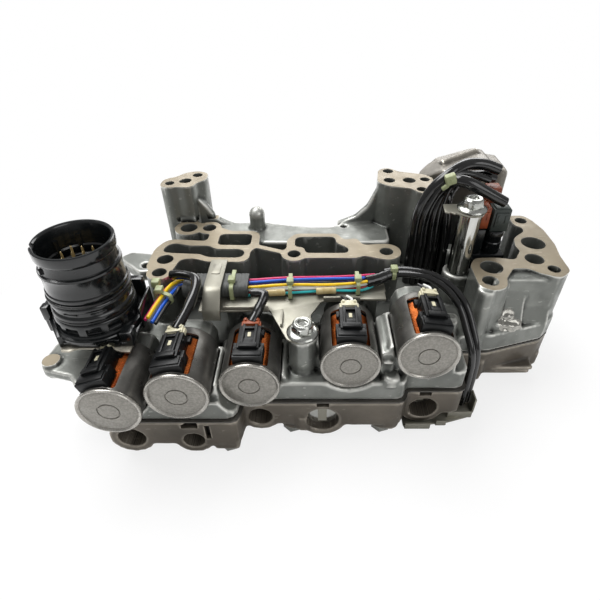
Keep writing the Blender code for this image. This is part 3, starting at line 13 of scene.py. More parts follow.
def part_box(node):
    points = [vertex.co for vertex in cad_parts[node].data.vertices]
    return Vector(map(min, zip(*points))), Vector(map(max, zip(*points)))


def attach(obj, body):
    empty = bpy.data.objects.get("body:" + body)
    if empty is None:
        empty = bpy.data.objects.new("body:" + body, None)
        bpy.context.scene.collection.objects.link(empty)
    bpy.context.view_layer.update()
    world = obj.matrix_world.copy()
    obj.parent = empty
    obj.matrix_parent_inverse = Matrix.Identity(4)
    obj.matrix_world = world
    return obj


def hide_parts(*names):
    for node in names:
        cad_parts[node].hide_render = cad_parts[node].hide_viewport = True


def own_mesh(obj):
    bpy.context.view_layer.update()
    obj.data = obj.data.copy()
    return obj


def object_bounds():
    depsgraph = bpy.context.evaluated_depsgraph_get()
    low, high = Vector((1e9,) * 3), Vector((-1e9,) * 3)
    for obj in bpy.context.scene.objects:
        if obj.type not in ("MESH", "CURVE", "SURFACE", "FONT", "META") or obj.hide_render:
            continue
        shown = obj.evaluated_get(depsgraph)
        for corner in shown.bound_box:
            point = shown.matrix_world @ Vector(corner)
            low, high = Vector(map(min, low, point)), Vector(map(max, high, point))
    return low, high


mm = 0.001
drawingMiddle = Vector((6.1936, 0.1, 0.0))  # the drawing's point that lies over the origin
bodyName = "valve_body"
chance = random.Random(7)

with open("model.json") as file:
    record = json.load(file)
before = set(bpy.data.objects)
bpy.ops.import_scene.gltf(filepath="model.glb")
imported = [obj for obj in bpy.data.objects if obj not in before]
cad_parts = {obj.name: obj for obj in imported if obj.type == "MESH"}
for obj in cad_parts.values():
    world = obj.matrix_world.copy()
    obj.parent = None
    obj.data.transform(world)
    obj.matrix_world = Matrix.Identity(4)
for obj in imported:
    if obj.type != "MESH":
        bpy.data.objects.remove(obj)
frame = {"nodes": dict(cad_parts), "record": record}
cadBox = [list(corner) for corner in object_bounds()]
print("frame loaded")


def at(x, y, z):
    return (Vector((x, y, z)) - drawingMiddle) * mm


def onDrawing(spot):
    return spot / mm + drawingMiddle


def linear(code):
    # sRGB hex to linear colour
    parts = [int(code[i : i + 2], 16) / 255 for i in (1, 3, 5)]
    return (*[p / 12.92 if p <= 0.04045 else ((p + 0.055) / 1.055) ** 2.4 for p in parts], 1.0)


def addNode(tree, kind, inputs=None, **settings):
    # adds a node, sets its settings, and fills or links its inputs
    made = tree.nodes.new(kind)
    for name, value in settings.items():
        setattr(made, name, value)
    for socket, value in (inputs or {}).items():
        if isinstance(value, bpy.types.NodeSocket):
            tree.links.new(value, made.inputs[socket])
        else:
            made.inputs[socket].default_value = value
    return made


def finishOf(name, colour, rough, metal=0.0, tone=None, toneSize=12.0, toneSpread=0.5, grain=None,
             roughSpread=0.0, roughSize=6.0, wearHighlightAndShade=None, scuff=None, coat=0.0, stretch=(1, 1, 1)):
    # One surface: base colour with a slow tone shift, a fine grain, edges lightened by wear and painted highlight, and
    # corners darkened with painted shade.
    # Sizes are millimetres: toneSize and roughSize are blotches, grain is (size, height).
    material = bpy.data.materials.new(name)
    material.use_nodes = True
    tree = material.node_tree
    shader = tree.nodes["Principled BSDF"]
    shader.inputs["Metallic"].default_value = metal
    shader.inputs["Roughness"].default_value = rough
    shader.inputs["Base Color"].default_value = linear(colour)
    if coat:
        shader.inputs["Coat Weight"].default_value = coat
        shader.inputs["Coat Roughness"].default_value = 0.12
    place = addNode(tree, "ShaderNodeTexCoord").outputs["Object"]
    place = addNode(tree, "ShaderNodeMapping", {"Vector": place, "Scale": stretch}).outputs[0]
    paint = None
    if tone:
        blotch = addNode(tree, "ShaderNodeTexNoise", {"Vector": place, "Scale": 1000 / toneSize, "Detail": 5.0})
        shift = addNode(tree, "ShaderNodeMapRange", {"Value": blotch.outputs[0], "From Min": 0.5 - toneSpread / 2,
                                                     "From Max": 0.5 + toneSpread / 2})
        paint = addNode(tree, "ShaderNodeMix", {"Factor": shift.outputs[0], 6: linear(colour), 7: linear(tone)},
                        data_type="RGBA").outputs[2]
    if wearHighlightAndShade:
        # edges are lighter, partly rubbed wear and partly painted highlight, and corners are darker with painted shade:
        # the mask is the mesh's own edge sharpness
        edgeWearAndHighlight, cornerShade, reach = wearHighlightAndShade
        point = addNode(tree, "ShaderNodeNewGeometry").outputs["Pointiness"]
        high = addNode(tree, "ShaderNodeMapRange", {"Value": point, "From Min": 0.5 + reach * 0.25,
                                                    "From Max": 0.5 + reach}).outputs[0]
        # the hollows and corners get the painted shade
        low = addNode(tree, "ShaderNodeMapRange", {"Value": point, "From Min": 0.5 - reach * 0.15,
                                                   "From Max": 0.5 - reach}).outputs[0]
        start = paint if paint else linear(colour)
        paint = addNode(tree, "ShaderNodeMix", {"Factor": high, 6: start, 7: linear(edgeWearAndHighlight)},
                        data_type="RGBA").outputs[2]
        paint = addNode(tree, "ShaderNodeMix", {"Factor": low, 6: paint, 7: linear(cornerShade)},
                        data_type="RGBA").outputs[2]
    if scuff:
        # thin pale scratches: a stretched noise cut to narrow bands
        scuffColour, scuffSize, scuffAmount = scuff
        long = addNode(tree, "ShaderNodeMapping", {"Vector": place, "Scale": (1.0, 6.0, 2.0),
                                                   "Rotation": (0.4, 0.2, 0.7)})
        lines = addNode(tree, "ShaderNodeTexNoise", {"Vector": long.outputs[0], "Scale": 1000 / scuffSize,
                                                     "Detail": 2.0})
        narrow = addNode(tree, "ShaderNodeMapRange", {"Value": lines.outputs[0], "From Min": 0.66, "From Max": 0.72,
                                                      "To Max": scuffAmount})
        paint = addNode(tree, "ShaderNodeMix", {"Factor": narrow.outputs[0], 6: paint if paint else linear(colour),
                                                7: linear(scuffColour)}, data_type="RGBA").outputs[2]
    if paint:
        tree.links.new(paint, shader.inputs["Base Color"])
    if roughSpread:
        patch = addNode(tree, "ShaderNodeTexNoise", {"Vector": place, "Scale": 1000 / roughSize, "Detail": 3.0})
        spread = addNode(tree, "ShaderNodeMapRange", {"Value": patch.outputs[0], "From Min": 0.3, "From Max": 0.7,
                                                      "To Min": max(0.03, rough - roughSpread),
                                                      "To Max": rough + roughSpread})
        tree.links.new(spread.outputs[0], shader.inputs["Roughness"])
    if grain:
        size, height = grain
        bumps = addNode(tree, "ShaderNodeTexNoise", {"Vector": place, "Scale": 1000 / size, "Detail": 4.0})
        relief = addNode(tree, "ShaderNodeBump", {"Height": bumps.outputs[0], "Distance": height * mm, "Strength": 1.0})
        tree.links.new(relief.outputs["Normal"], shader.inputs["Normal"])
    return material


# die-cast aluminium: satin grey, sandy skin, lighter edges of wear and painted highlight, painted shade in the corners
castLight = finishOf("dieCastAluminium", "#868883", 0.4, 0.62, tone="#646662", toneSize=24, grain=(0.7, 0.06),
                     roughSpread=0.12, wearHighlightAndShade=("#cbcbc5", "#1f201e", 0.035), scuff=("#c6c6bf", 5, 0.35))
# where the metal folded as it filled the mould: smooth and bright
foldedCast = finishOf("foldedCastAluminium", "#b9b7b0", 0.2, 0.8, tone="#85837d", toneSize=3, grain=(1.6, 0.08),
                      roughSpread=0.1)
# the rear cover comes from another mould and has kept more oil: a warmer, darker grey, with lighter edges of wear and
# painted highlight and painted shade in its corners
castCover = finishOf("oiledDieCastCover", "#807b72", 0.36, 0.6, tone="#625e57", toneSize=20, grain=(0.7, 0.05),
                     roughSpread=0.1, wearHighlightAndShade=("#bdb8ae", "#201f1c", 0.035), scuff=("#b8b3a8", 5, 0.3))
# milled aluminium: flat warm face with faint cutter marks
milledFace = finishOf("milledAluminium", "#968b76", 0.44, 0.4, tone="#827866", toneSize=18, grain=(0.4, 0.012),
                      roughSpread=0.08, scuff=("#bdb29c", 7, 0.5))
# older casting of the lower half: brown-grey, a little oily, with lighter edges of wear and painted highlight and
# painted shade in its corners
castDark = finishOf("oiledCastAluminium", "#6a6359", 0.4, 0.5, tone="#4d4840", toneSize=22, grain=(0.7, 0.045),
                    roughSpread=0.1, wearHighlightAndShade=("#9a9387", "#1c1a18", 0.045), scuff=("#a39c90", 6, 0.25))
# steel can, drawn and blasted: even mid grey
canSteel = finishOf("blastedSteel", "#6f6d69", 0.34, 0.75, tone="#54534f", toneSize=9, grain=(0.35, 0.02),
                    roughSpread=0.08, scuff=("#8d8b86", 3, 0.5))
canFace = finishOf("coinedSteelFace", "#96938c", 0.38, 0.55, tone="#7f7c76", toneSize=1.1, toneSpread=0.3,
                   grain=(0.5, 0.03), roughSpread=0.08)
# the rolled rim round the face: a painted highlight, brighter than the face so the rim reads as a lit line
canRimHighlight = finishOf("paintedHighlightSteelRim", "#bab7b0", 0.26, 0.75, tone="#999690", toneSize=3, roughSpread=0.06)
# sheet steel with zinc chromate: dull grey with a breath of olive
zincSheet = finishOf("chromatedSheetSteel", "#98958a", 0.42, 0.65, tone="#88867a", toneSize=12, roughSpread=0.05,
                     scuff=("#bbb8ac", 4, 0.25))
# sprung sheet: pale grey with bright sheared edges
springSheet = finishOf("phosphatedSheetSteel", "#a9a498", 0.36, 0.7, tone="#8c887c", toneSize=14, roughSpread=0.1)
# the separator sheet between the castings: only its sheared edge shows, darkened as painted shade of the seam
seamShadeSheet = finishOf("seamShadedSheetSteel", "#5f5c57", 0.4, 0.6, tone="#4a4844", toneSize=16, roughSpread=0.08)
# ground and polished steel of bolts and the spacer tube
polishedSteel = finishOf("polishedSteel", "#cfcfcb", 0.14, 1.0, tone="#aaaaa5", toneSize=5, roughSpread=0.06,
                         roughSize=2.0, stretch=(1, 1, 0.15))
# zinc plate over steel: bright, slightly clouded
zincBolt = finishOf("zincPlatedSteel", "#c6c7c3", 0.22, 0.95, tone="#94958f", toneSize=4, roughSpread=0.08)
# enamelled copper winding: bright orange where the light hits
copperWire = finishOf("enamelledCopper", "#cf7434", 0.24, 0.75, tone="#86401a", toneSize=7, roughSpread=0.1)
# gold-flashed brass pins, a little dull from handling
tinnedPin = finishOf("goldFlashedBrass", "#cdb684", 0.34, 0.5, tone="#a48f60", toneSize=3)
# glass-filled nylon: near black, gloss from oil
blackNylon = finishOf("glassFilledNylon", "#0c0e0f", 0.2, 0.0, tone="#141718", toneSize=9, grain=(0.5, 0.008),
                      roughSpread=0.08, coat=0.25)
# the same nylon off a spark-eroded mould: satin, slightly paler
satinNylon = finishOf("mouldedNylon", "#0d0f10", 0.4, 0.0, tone="#08090a", toneSize=7, grain=(0.45, 0.015),
                      roughSpread=0.08)
satinNylon.node_tree.nodes["Principled BSDF"].inputs["Specular IOR Level"].default_value = 0.3
# oiled seal rubber: black with a soft shine
blackRubber = finishOf("nitrileRubber", "#0b0c0c", 0.3, 0.0, roughSpread=0.08, grain=(1.0, 0.01))
# PVC sheath: glossy black with faint waves
blackSheath = finishOf("sheathedCable", "#0a0a0a", 0.16, 0.0, tone="#161616", toneSize=14, roughSpread=0.06,
                       grain=(6.0, 0.12), coat=0.3)
# uncoloured nylon of the clips, a little yellow from heat
creamNylon = finishOf("naturalNylon", "#d6d1b9", 0.4, 0.0, tone="#bab494", toneSize=4, grain=(0.6, 0.01))
# rust-red nylon of the keyed plugs
orangeNylon = finishOf("rustNylon", "#9a4a22", 0.42, 0.0, tone="#702f12", toneSize=5, grain=(0.6, 0.01))
# slate-grey nylon plug, matt
greyNylon = finishOf("slateNylon", "#3c4441", 0.4, 0.0, tone="#2c322f", toneSize=5, grain=(0.5, 0.015))
# clear splice sleeve over crimped wire: amber where it is thick
clearSplice = finishOf("clearedSplice", "#c9bc90", 0.2, 0.0, tone="#9b8148", toneSize=3)
# cable ties: pale olive nylon
tieNylon = finishOf("olivePaleNylon", "#a7ae86", 0.42, 0.0, tone="#8b9269", toneSize=4)
# woven harness tape: dull, with a coarse weave
sleeveTape = finishOf("wovenTape", "#484a48", 0.55, 0.0, tone="#363836", toneSize=3, grain=(0.9, 0.12))
wireColours = {
    "yellow": "#f2c81c", "pink": "#d42a66", "blue": "#1f5ccc", "teal": "#2fb6bb", "grey": "#8c8f8e",
    "white": "#dedfda", "black": "#1a1a1b", "red": "#b3201f", "violet": "#5b4a9c",
}
# PVC insulation: even colour with a soft shine
wirePaint = {name: finishOf("pvcWire_" + name, code, 0.32) for name, code in wireColours.items()}
print("materials made")


def merge(target, part, mat=0, ends=(), endMat=None):
    # adds one shape to a piece, with its material number, and another one for its ends
    for face in part.faces:
        face.material_index = mat
    if endMat is not None:
        for face in ends:
            face.material_index = endMat
    keep = bpy.data.meshes.new("step")
    part.to_mesh(keep)
    part.free()
    target.from_mesh(keep)
    bpy.data.meshes.remove(keep)


def block(piece, low, high, mat=0, edge=0.4, steps=2, turn=None):
    # a box with rounded edges between two drawing points
    low, high = Vector(low), Vector(high)
    part = bmesh.new()
    size = high - low
    bmesh.ops.create_cube(part, size=1.0, matrix=Matrix.Diagonal((*(size * mm), 1.0)))
    if edge:
        edge = min(edge, min(size) * 0.45)
        bmesh.ops.bevel(part, geom=part.edges[:], offset=edge * mm, segments=steps, affect="EDGES", profile=0.5)
    move = Matrix.Translation(at(*((low + high) / 2)))
    bmesh.ops.transform(part, matrix=move @ turn if turn else move, verts=part.verts)
    merge(piece, part, mat)


def blocks(piece, rows, mat=0, edge=0.4):
    # several boxes: each row is its low and high corner, and its own edge where it has one
    for low, high, *own in rows:
        block(piece, low, high, mat, *(own or [edge]))


def lathe(piece, profile, place, axis="Z", sides=48, mat=0, closed=False):
    # a (radius, height) profile turned about an axis through a drawing point
    part = bmesh.new()
    turn = Matrix.Rotation(-math.pi / 2, 4, "X") if axis == "Y" else Matrix.Identity(4)
    whole = Matrix.Translation(at(*place)) @ turn
    rings = []
    for radius, height in profile:
        if radius < 1e-6:
            rings.append([part.verts.new(whole @ Vector((0, 0, height * mm)))])
        else:
            angles = [math.tau * i / sides for i in range(sides)]
            rings.append([part.verts.new(whole @ (Vector((radius * math.cos(a), radius * math.sin(a), height)) * mm))
                          for a in angles])
    pairs = list(zip(rings, rings[1:]))
    if closed:
        pairs.append((rings[-1], rings[0]))
    for first, second in pairs:
        for i in range(sides):
            j = (i + 1) % sides
            corners = [first[i % len(first)], first[j % len(first)], second[j % len(second)], second[i % len(second)]]
            corners = list(dict.fromkeys(corners))
            if len(corners) > 2:
                part.faces.new(corners)
    bmesh.ops.recalc_face_normals(part, faces=part.faces)
    merge(piece, part, mat)


def curved(points, spacing):
    # a smooth path of drawing points, about a spacing apart
    points = [Vector(p) for p in points]
    ends = [2 * points[0] - points[1], *points, 2 * points[-1] - points[-2]]
    path = []
    for i in range(len(points) - 1):
        a, b, c, d = ends[i : i + 4]
        steps = max(1, round((c - b).length / spacing))
        for step in range(steps):
            t = step / steps
            path.append(0.5 * (2 * b + (c - a) * t + (2 * a - 5 * b + 4 * c - d) * t**2
                               + (3 * b - a - 3 * c + d) * t**3))
    path.append(points[-1])
    return path


def tube(piece, points, radius, mat=0, sides=12, spacing=2.0, swell=None, endMat=None):
    # a round sheath along a path, with rounded ends; swell(t) changes its radius along the way
    path = curved(points, spacing)
    part = bmesh.new()
    side = None
    rings = []
    for i, here in enumerate(path):
        ahead = path[min(i + 1, len(path) - 1)] - path[max(i - 1, 0)]
        ahead.normalize()
        if side is None:
            side = ahead.orthogonal().normalized()
        side = (side - ahead * side.dot(ahead)).normalized()
        other = ahead.cross(side)
        reach = radius * (swell(i / (len(path) - 1)) if swell else 1.0)
        rings.append([part.verts.new(at(*(here + reach * (side * math.cos(a) + other * math.sin(a)))))
                      for a in [math.tau * k / sides for k in range(sides)]])
    for first, second in zip(rings, rings[1:]):
        for i in range(sides):
            j = (i + 1) % sides
            part.faces.new((first[i], first[j], second[j], second[i]))
    caps = [part.faces.new(rings[0]), part.faces.new(rings[-1])]
    bmesh.ops.recalc_face_normals(part, faces=part.faces)
    bmesh.ops.inset_individual(part, faces=caps, thickness=radius * 0.12 * mm, depth=radius * 0.08 * mm)
    merge(piece, part, mat, caps, endMat)


def rounded(corners, step=20.0):
    # a flat outline whose corners (x, y, radius) are arcs
    points = []
    for i, (x, y, radius) in enumerate(corners):
        here = Vector((x, y))
        back = Vector(corners[i - 1][:2]) - here
        ahead = Vector(corners[(i + 1) % len(corners)][:2]) - here
        inner = back.angle(ahead)
        if radius <= 0 or math.pi - inner < 0.08:
            points.append(here)
            continue
        reach = min(radius / math.tan(inner / 2), 0.48 * min(back.length, ahead.length))
        radius = reach * math.tan(inner / 2)
        back.normalize()
        ahead.normalize()
        centre = here + (back + ahead).normalized() * (radius / math.sin(inner / 2))
        first, last = here + back * reach - centre, here + ahead * reach - centre
        start = math.atan2(first.y, first.x)
        sweep = math.remainder(math.atan2(last.y, last.x) - start, math.tau)
        steps = max(1, math.ceil(math.degrees(abs(sweep)) / step))
        for k in range(steps + 1):
            angle = start + sweep * k / steps
            points.append(centre + radius * Vector((math.cos(angle), math.sin(angle))))
    return points


def plate(piece, outline, low, high, edge=0.25, axis="Z"):
    # a flat outline given a thickness along an axis, with its rims rounded
    part = bmesh.new()
    place = {
        "Z": lambda p, h: at(p[0], p[1], h),
        "Y": lambda p, h: at(p[0], h, p[1]),
        "X": lambda p, h: at(h, p[0], p[1]),
    }[axis]
    bottom = [part.verts.new(place(p, low)) for p in outline]
    top = [part.verts.new(place(p, high)) for p in outline]
    count = len(outline)
    lids = [part.faces.new(bottom), part.faces.new(top)]
    for i in range(count):
        j = (i + 1) % count
        part.faces.new((bottom[i], bottom[j], top[j], top[i]))
    bmesh.ops.recalc_face_normals(part, faces=part.faces)
    if edge:
        rim = {e for lid in lids for e in lid.edges}
        bmesh.ops.bevel(part, geom=list(rim), offset=edge * mm, segments=2, affect="EDGES", profile=0.5)
    merge(piece, part)


def makeObject(name, piece, materials):
    mesh = bpy.data.meshes.new(name)
    piece.to_mesh(mesh)
    piece.free()
    for material in materials:
        mesh.materials.append(material)
    thing = bpy.data.objects.new(name, mesh)
    bpy.context.scene.collection.objects.link(thing)
    return thing


def softenShade(thing, degrees=38):
    thing.data.shade_smooth()
    thing.data.set_sharp_from_angle(angle=math.radians(degrees))


def baked(thing):
    # turns a piece and its modifiers into a plain mesh
    bpy.context.view_layer.update()
    graph = bpy.context.evaluated_depsgraph_get()
    mesh = bpy.data.meshes.new_from_object(thing.evaluated_get(graph))
    materials = list(thing.data.materials)
    old = thing.data
    thing.modifiers.clear()
    thing.data = mesh
    bpy.data.meshes.remove(old)
    if not mesh.materials:
        for material in materials:
            mesh.materials.append(material)
    return thing


def carve(thing, cutter):
    # cuts one shape out of a piece
    cut = thing.modifiers.new("cut", "BOOLEAN")
    cut.operation = "DIFFERENCE"
    cut.solver = "EXACT"
    cut.object = cutter
    baked(thing)
    bpy.data.objects.remove(cutter)


def dress(thing, *nodes, slot=None, body=bodyName, degrees=38):
    # shades a finished piece, hangs it on the empty of the body it rides on, and hides the solids it stands for
    softenShade(thing, degrees)
    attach(thing, body)
    if nodes:
        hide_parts(*nodes)
    return thing


# castings: the solid's own surface, with the soft corners and the sandy skin of a casting

# keep is the most triangles; machined levels are raised before the softening, then cut flat again
castingLook = {
    "upper": {"voxel": 0.95, "smooth": 5, "keep": 190000, "raise": 2.2},
    "lower": {"voxel": 1.05, "smooth": 5, "keep": 120000, "raise": 0.0},
    "cover": {"voxel": 0.7, "smooth": 8, "keep": 30000, "raise": 0.0},
    "wobble": 0.12,  # the skin's unevenness, and how close together its waves are
    "waves": 90.0,
}


def castSkin(name, node, look, extras, levels, materials):
    # Joins the extra ribs and lumps to a copy of the solid, then melts it all into one soft skin.
    # A level is a machined height, where it holds, and where only what stands just above it is cut.
    piece = bmesh.new()
    piece.from_mesh(frame["nodes"][node].data)
    bmesh.ops.remove_doubles(piece, verts=piece.verts, dist=0.01 * mm)
    for level, applies, below in levels:
        for vert in piece.verts:
            x, y, _ = onDrawing(vert.co)
            if abs(vert.co.z - level * mm) < 0.02 * mm and (applies(x, y) or below(x, y)):
                vert.co.z += look["raise"] * mm
    extras(piece)
    thing = makeObject(name, piece, [])
    melt = thing.modifiers.new("melt", "REMESH")
    melt.mode = "VOXEL"
    melt.voxel_size = look["voxel"] * mm
    soften = thing.modifiers.new("soften", "SMOOTH")
    soften.factor = 0.5
    soften.iterations = look["smooth"]
    baked(thing)
    count = 2 * len(thing.data.polygons)
    if count > look["keep"]:
        thin = thing.modifiers.new("thin", "DECIMATE")
        thin.ratio = look["keep"] / count
        baked(thing)
    mesh = thing.data
    normals = [Vector(entry.vector) for entry in mesh.vertex_normals]
    for vert, normal in zip(mesh.vertices, normals):
        co = vert.co
        limit = None
        x, y, _ = onDrawing(co)
        for level, applies, below in levels:
            if co.z > level * mm and applies(x, y):
                limit = level * mm
            elif 0 < co.z - level * mm < (look["raise"] + 0.4) * mm and below(x, y):
                limit = level * mm
        if limit is not None:
            co.z = limit
        else:
            co += normal * noise.noise(co * castingLook["waves"]) * castingLook["wobble"] * mm
        vert.co = [min(max(value, least), most) for value, least, most in zip(co, *cadBox)]
    mesh.materials.clear()
    for material in materials:
        mesh.materials.append(material)
    mesh.update()
    tops = [entry[0] * mm for entry in levels]
    for face in mesh.polygons:
        # the milled faces are those that lie level at a machined height
        face.material_index = int(face.normal.z > 0.97 and any(abs(face.center.z - top) < 0.06 * mm for top in tops))
    return thing


def onGallery(x, y):
    posts = (x < -64 and y > 47.5) or (20 < x < 90 and y > 50) or (44 < x < 90 and y > 38) or (85 < x < 136 and y > 54)
    pin = math.hypot(x + 34, y - 52.7) < 9
    return not posts and not pin


def byLeftPost(x, y):
    return x < -64 and y > 47.5


def onPosts(x, y):
    return (x < -64 and y > 46) or (44 < x < 90 and y > 36)


def onWingBoss(x, y):
    return math.hypot(x + 141.8, y + 51) < 5.5


def nowhere(x, y):
    return False


# centre and radius of each lump of the fold low on the tower's front
foldPlaces = ((118.5, -20.5, 49.5, 4.6), (124.0, -20.5, 48.5, 4.2), (127.5, -19.5, 48.0, 3.4),
              (121.5, -18.0, 54.0, 3.6))


def upperExtras(piece):
    # webs, pads and lumps that the mould left between the main forms
    for x, y, radius, low, high in (
        (-44.5, -74, 4.5, 33.5, 41), (-82, -74.5, 3.6, 33.5, 41), (36, -60, 4.0, 33.5, 44.5),
        (82, -52, 4.5, 33.5, 42), (-14, -60, 4.2, 33.5, 42), (11.5, -60, 3.6, 33.5, 41),
        (121, -5, 6.0, 34, 60), (86, -24, 4.5, 34, 58), (98, 40, 6, 40, 66), (129, 12, 5.0, 40, 60),
        (-60, 50, 4.0, 40, 60), (42, 50, 5.0, 40, 66), (-20, 45, 5, 60, 73.4),
    ):
        lathe(piece, [(0, high), (radius * 0.7, high), (radius, high - radius * 0.35), (radius * 1.15, low), (0, low)],
              (x, y, 0), sides=20)
    blocks(piece, (
        ((-100, -12, 44), (-97, 48, 50)), ((-62, 42, 52), (-38, 45, 70)), ((112, -25, 33.5), (118, -10, 52)),
        ((136, -13, 33.5), (146, -9.5, 60)), ((-30, 36, 46), (-27, 44, 70)), ((-5, 36, 46), (-2, 46, 70)),
        ((12, 36, 46), (15, 46, 70)), ((-48, 39, 46), (-45, 50, 70)), ((36, 24, 44), (40, 42, 62)),
        ((53, 22, 44), (57, 42, 60)), ((-72, 44, 46), (-66, 56, 62)),
    ), edge=1.2)
    # the rib between the last two solenoids has a round back, and a round boss at its foot
    tube(piece, [(43.4, -30, 60.5), (43.4, -45, 60.6), (43.4, -55, 59.8), (43.4, -60.0, 55.5)], 3.6, sides=20)
    lathe(piece, [(0, 49.5), (3.2, 49.5), (4.6, 48.6), (5.2, 44), (0, 44)], (46.0, -62.2, 0), sides=24)
    # the front of the tower: two round columns, and the wall between them and the flat panel
    for x, y, radius in ((102.5, -23.5, 5.2), (112.5, -18.0, 4.6)):
        lathe(piece, [(0, 78), (radius, 78), (radius * 1.12, 46), (radius * 1.3, 34), (0, 34)], (x, y, 0), sides=24)
    block(piece, (114, -13.5, 40), (149, -3, 77), edge=2.5, steps=3)
    for left, right, front in ((112, 131, -22.5), (129, 149, -17.5)):
        side = ((-4, 70), (front + 9, 68), (front + 1.5, 50), (front, 46), (front, 36), (-4, 36))
        plate(piece, [Vector(p) for p in side], left, right, edge=0, axis="X")
    # the left post spreads at its foot
    flare = ((-73, 94), (-68, 88), (-64.5, 82), (-60, 77.5), (-54, 74.5), (-50, 73), (-73, 73))
    plate(piece, [Vector(p) for p in flare], 55.5, 61.0, edge=0, axis="Y")
    # a fold in the casting, low on the tower's front
    for x, y, z, radius in foldPlaces:
        lump = bmesh.new()
        flat = Matrix.Translation(at(x, y, z)) @ Matrix.Diagonal((1.0, 1.0, 0.5, 1.0))
        bmesh.ops.create_icosphere(lump, subdivisions=3, radius=radius * mm, matrix=flat)
        merge(piece, lump)


# x, z, radius and front face of each valve bore
boreSpec = ((-95.5, 17.4, 7.5, -80), (-61.7, 15.2, 5.8, -80), (-25.9, 18.8, 6.6, -67), (9.5, 16.1, 9.2, -67),
            (68.3, 16.8, 8.2, -59))


def lowerExtras(piece):
    # collars round the bores, webs, pads and the eight-sided cover at the right
    for x, z, radius, front in boreSpec:
        lathe(piece, [(radius + 0.2, 0.0), (radius + 4.4, 0.0), (radius + 4.4, 8.0), (radius + 0.2, 8.0)],
              (x, front + 0.1, z), axis="Y", sides=40, closed=True)
    blocks(piece, (
        ((-80, -79.6, 11), (-73, -72, 30)), ((-52, -79.8, 10), (-38, -70, 30.8)), ((24, -66.4, 10), (50, -60, 30.6)),
        ((-14, -66.4, 12), (-4, -60, 24)), ((92, -30, 8), (112, -26.5, 26)), ((112, -27, 14), (146, -12, 17)),
        ((112, -22, 5.5), (148, -8, 9)),
    ), edge=1.4)
    for x, y, radius in ((150, -12, 4.2), (153, 2, 4.2), (-2, -63, 5.5), (49, -62, 5.5)):
        lathe(piece, [(0, 19), (radius, 19), (radius, 7.5), (0, 7.5)], (x, y, 0), sides=20)


def makeCastings():
    upper = castSkin("upperCasting", "upper_body", castingLook["upper"], upperExtras,
                     [(79.0, onGallery, byLeftPost), (104.5, onPosts, nowhere), (49.0, onWingBoss, nowhere)],
                     [castLight, milledFace, foldedCast])
    for face in upper.data.polygons:
        spot = onDrawing(face.center)
        if any((spot - Vector(fold[:3])).length < fold[3] + 0.8 for fold in foldPlaces):
            face.material_index = 2
    dress(upper, "upper_body", slot="cast_aluminium_light", degrees=50)

    lower = castSkin("lowerCasting", "lower_body", castingLook["lower"], lowerExtras, [], [castDark])
    slots = bmesh.new()
    blocks(slots, (
        ((6.0, -68.5, 27.9), (13.0, -62.5, 32.0)), ((64.8, -60.5, 27.9), (71.8, -55.0, 32.0)),
        ((-67.0, -81.5, 26.2), (-58.0, -76.0, 29.6)), ((-54.4, -81.5, 17.0), (-51.6, -76.0, 28.6)),
    ), edge=0.5)
    # the reamed bores stay crisp
    for x, z, radius, front in boreSpec:
        reamed = radius + 0.05
        lathe(slots, [(0, -1.5), (reamed, -1.5), (reamed, 61.9), (0, 61.9)], (x, front, z), axis="Y", sides=64)
    carve(lower, makeObject("slots", slots, []))
    dress(lower, "lower_body", slot="cast_aluminium_dark", degrees=50)
    cover = castSkin("rearCover", "rear_cover", castingLook["cover"], lambda piece: None, [], [castCover])
    dress(cover, "rear_cover", slot="cast_aluminium_light", degrees=50)


makeCastings()
print("castings made")

solenoidSpec = {
    # where each axis meets the face of the can, and its lean to the left in degrees
    "axes": ((-96.4, -88.8, 51.0, 18), (-63.2, -84.4, 56.5, 10), (-29.2, -72.6, 51.0, 0), (23.6, -64.4, 57.0, 0),
             (62.6, -67.1, 67.0, -7)),
    "length": 36.0,
    "windowHalf": 10.0,
    "turns": 24,
    "pitch": 1.12,
    "coilRadius": 13.2,
    "wire": 0.62,
}


def seated(x, y, z, lean):
    # from a pattern made around the scene's origin to its seat
    return Matrix.Translation(at(x, y, z)) @ Matrix.Rotation(-math.radians(lean), 4, "Y")


def windingTree():
    # turns of copper wire: one ring repeated along the coil
    tree = bpy.data.node_groups.new("coilWinding", "GeometryNodeTree")
    for name, kind in (("Turns", "NodeSocketInt"), ("Pitch", "NodeSocketFloat"), ("Radius", "NodeSocketFloat"),
                       ("Wire", "NodeSocketFloat"), ("Enamel", "NodeSocketMaterial")):
        tree.interface.new_socket(name, in_out="INPUT", socket_type=kind)
    tree.interface.new_socket("Geometry", in_out="OUTPUT", socket_type="NodeSocketGeometry")
    given = addNode(tree, "NodeGroupInput").outputs
    step = addNode(tree, "ShaderNodeCombineXYZ", {"Y": given["Pitch"]})
    line = addNode(tree, "GeometryNodeMeshLine", {"Count": given["Turns"], "Offset": step.outputs[0]})
    ring = addNode(tree, "GeometryNodeCurvePrimitiveCircle", {"Resolution": 48, "Radius": given["Radius"]})
    wire = addNode(tree, "GeometryNodeCurvePrimitiveCircle", {"Resolution": 6, "Radius": given["Wire"]})
    turn = addNode(tree, "GeometryNodeCurveToMesh", {"Curve": ring.outputs[0], "Profile Curve": wire.outputs[0]})
    many = addNode(tree, "GeometryNodeInstanceOnPoints", {"Points": line.outputs[0], "Instance": turn.outputs[0],
                                                          "Rotation": (math.pi / 2, 0.0, 0.0)})
    real = addNode(tree, "GeometryNodeRealizeInstances", {"Geometry": many.outputs[0]})
    paint = addNode(tree, "GeometryNodeSetMaterial", {"Geometry": real.outputs[0], "Material": given["Enamel"]})
    addNode(tree, "NodeGroupOutput", {"Geometry": paint.outputs[0]})
    return tree


def setInput(modifier, name, value):
    for item in modifier.node_group.interface.items_tree:
        if item.item_type == "SOCKET" and item.in_out == "INPUT" and item.name == name:
            modifier[item.identifier] = value


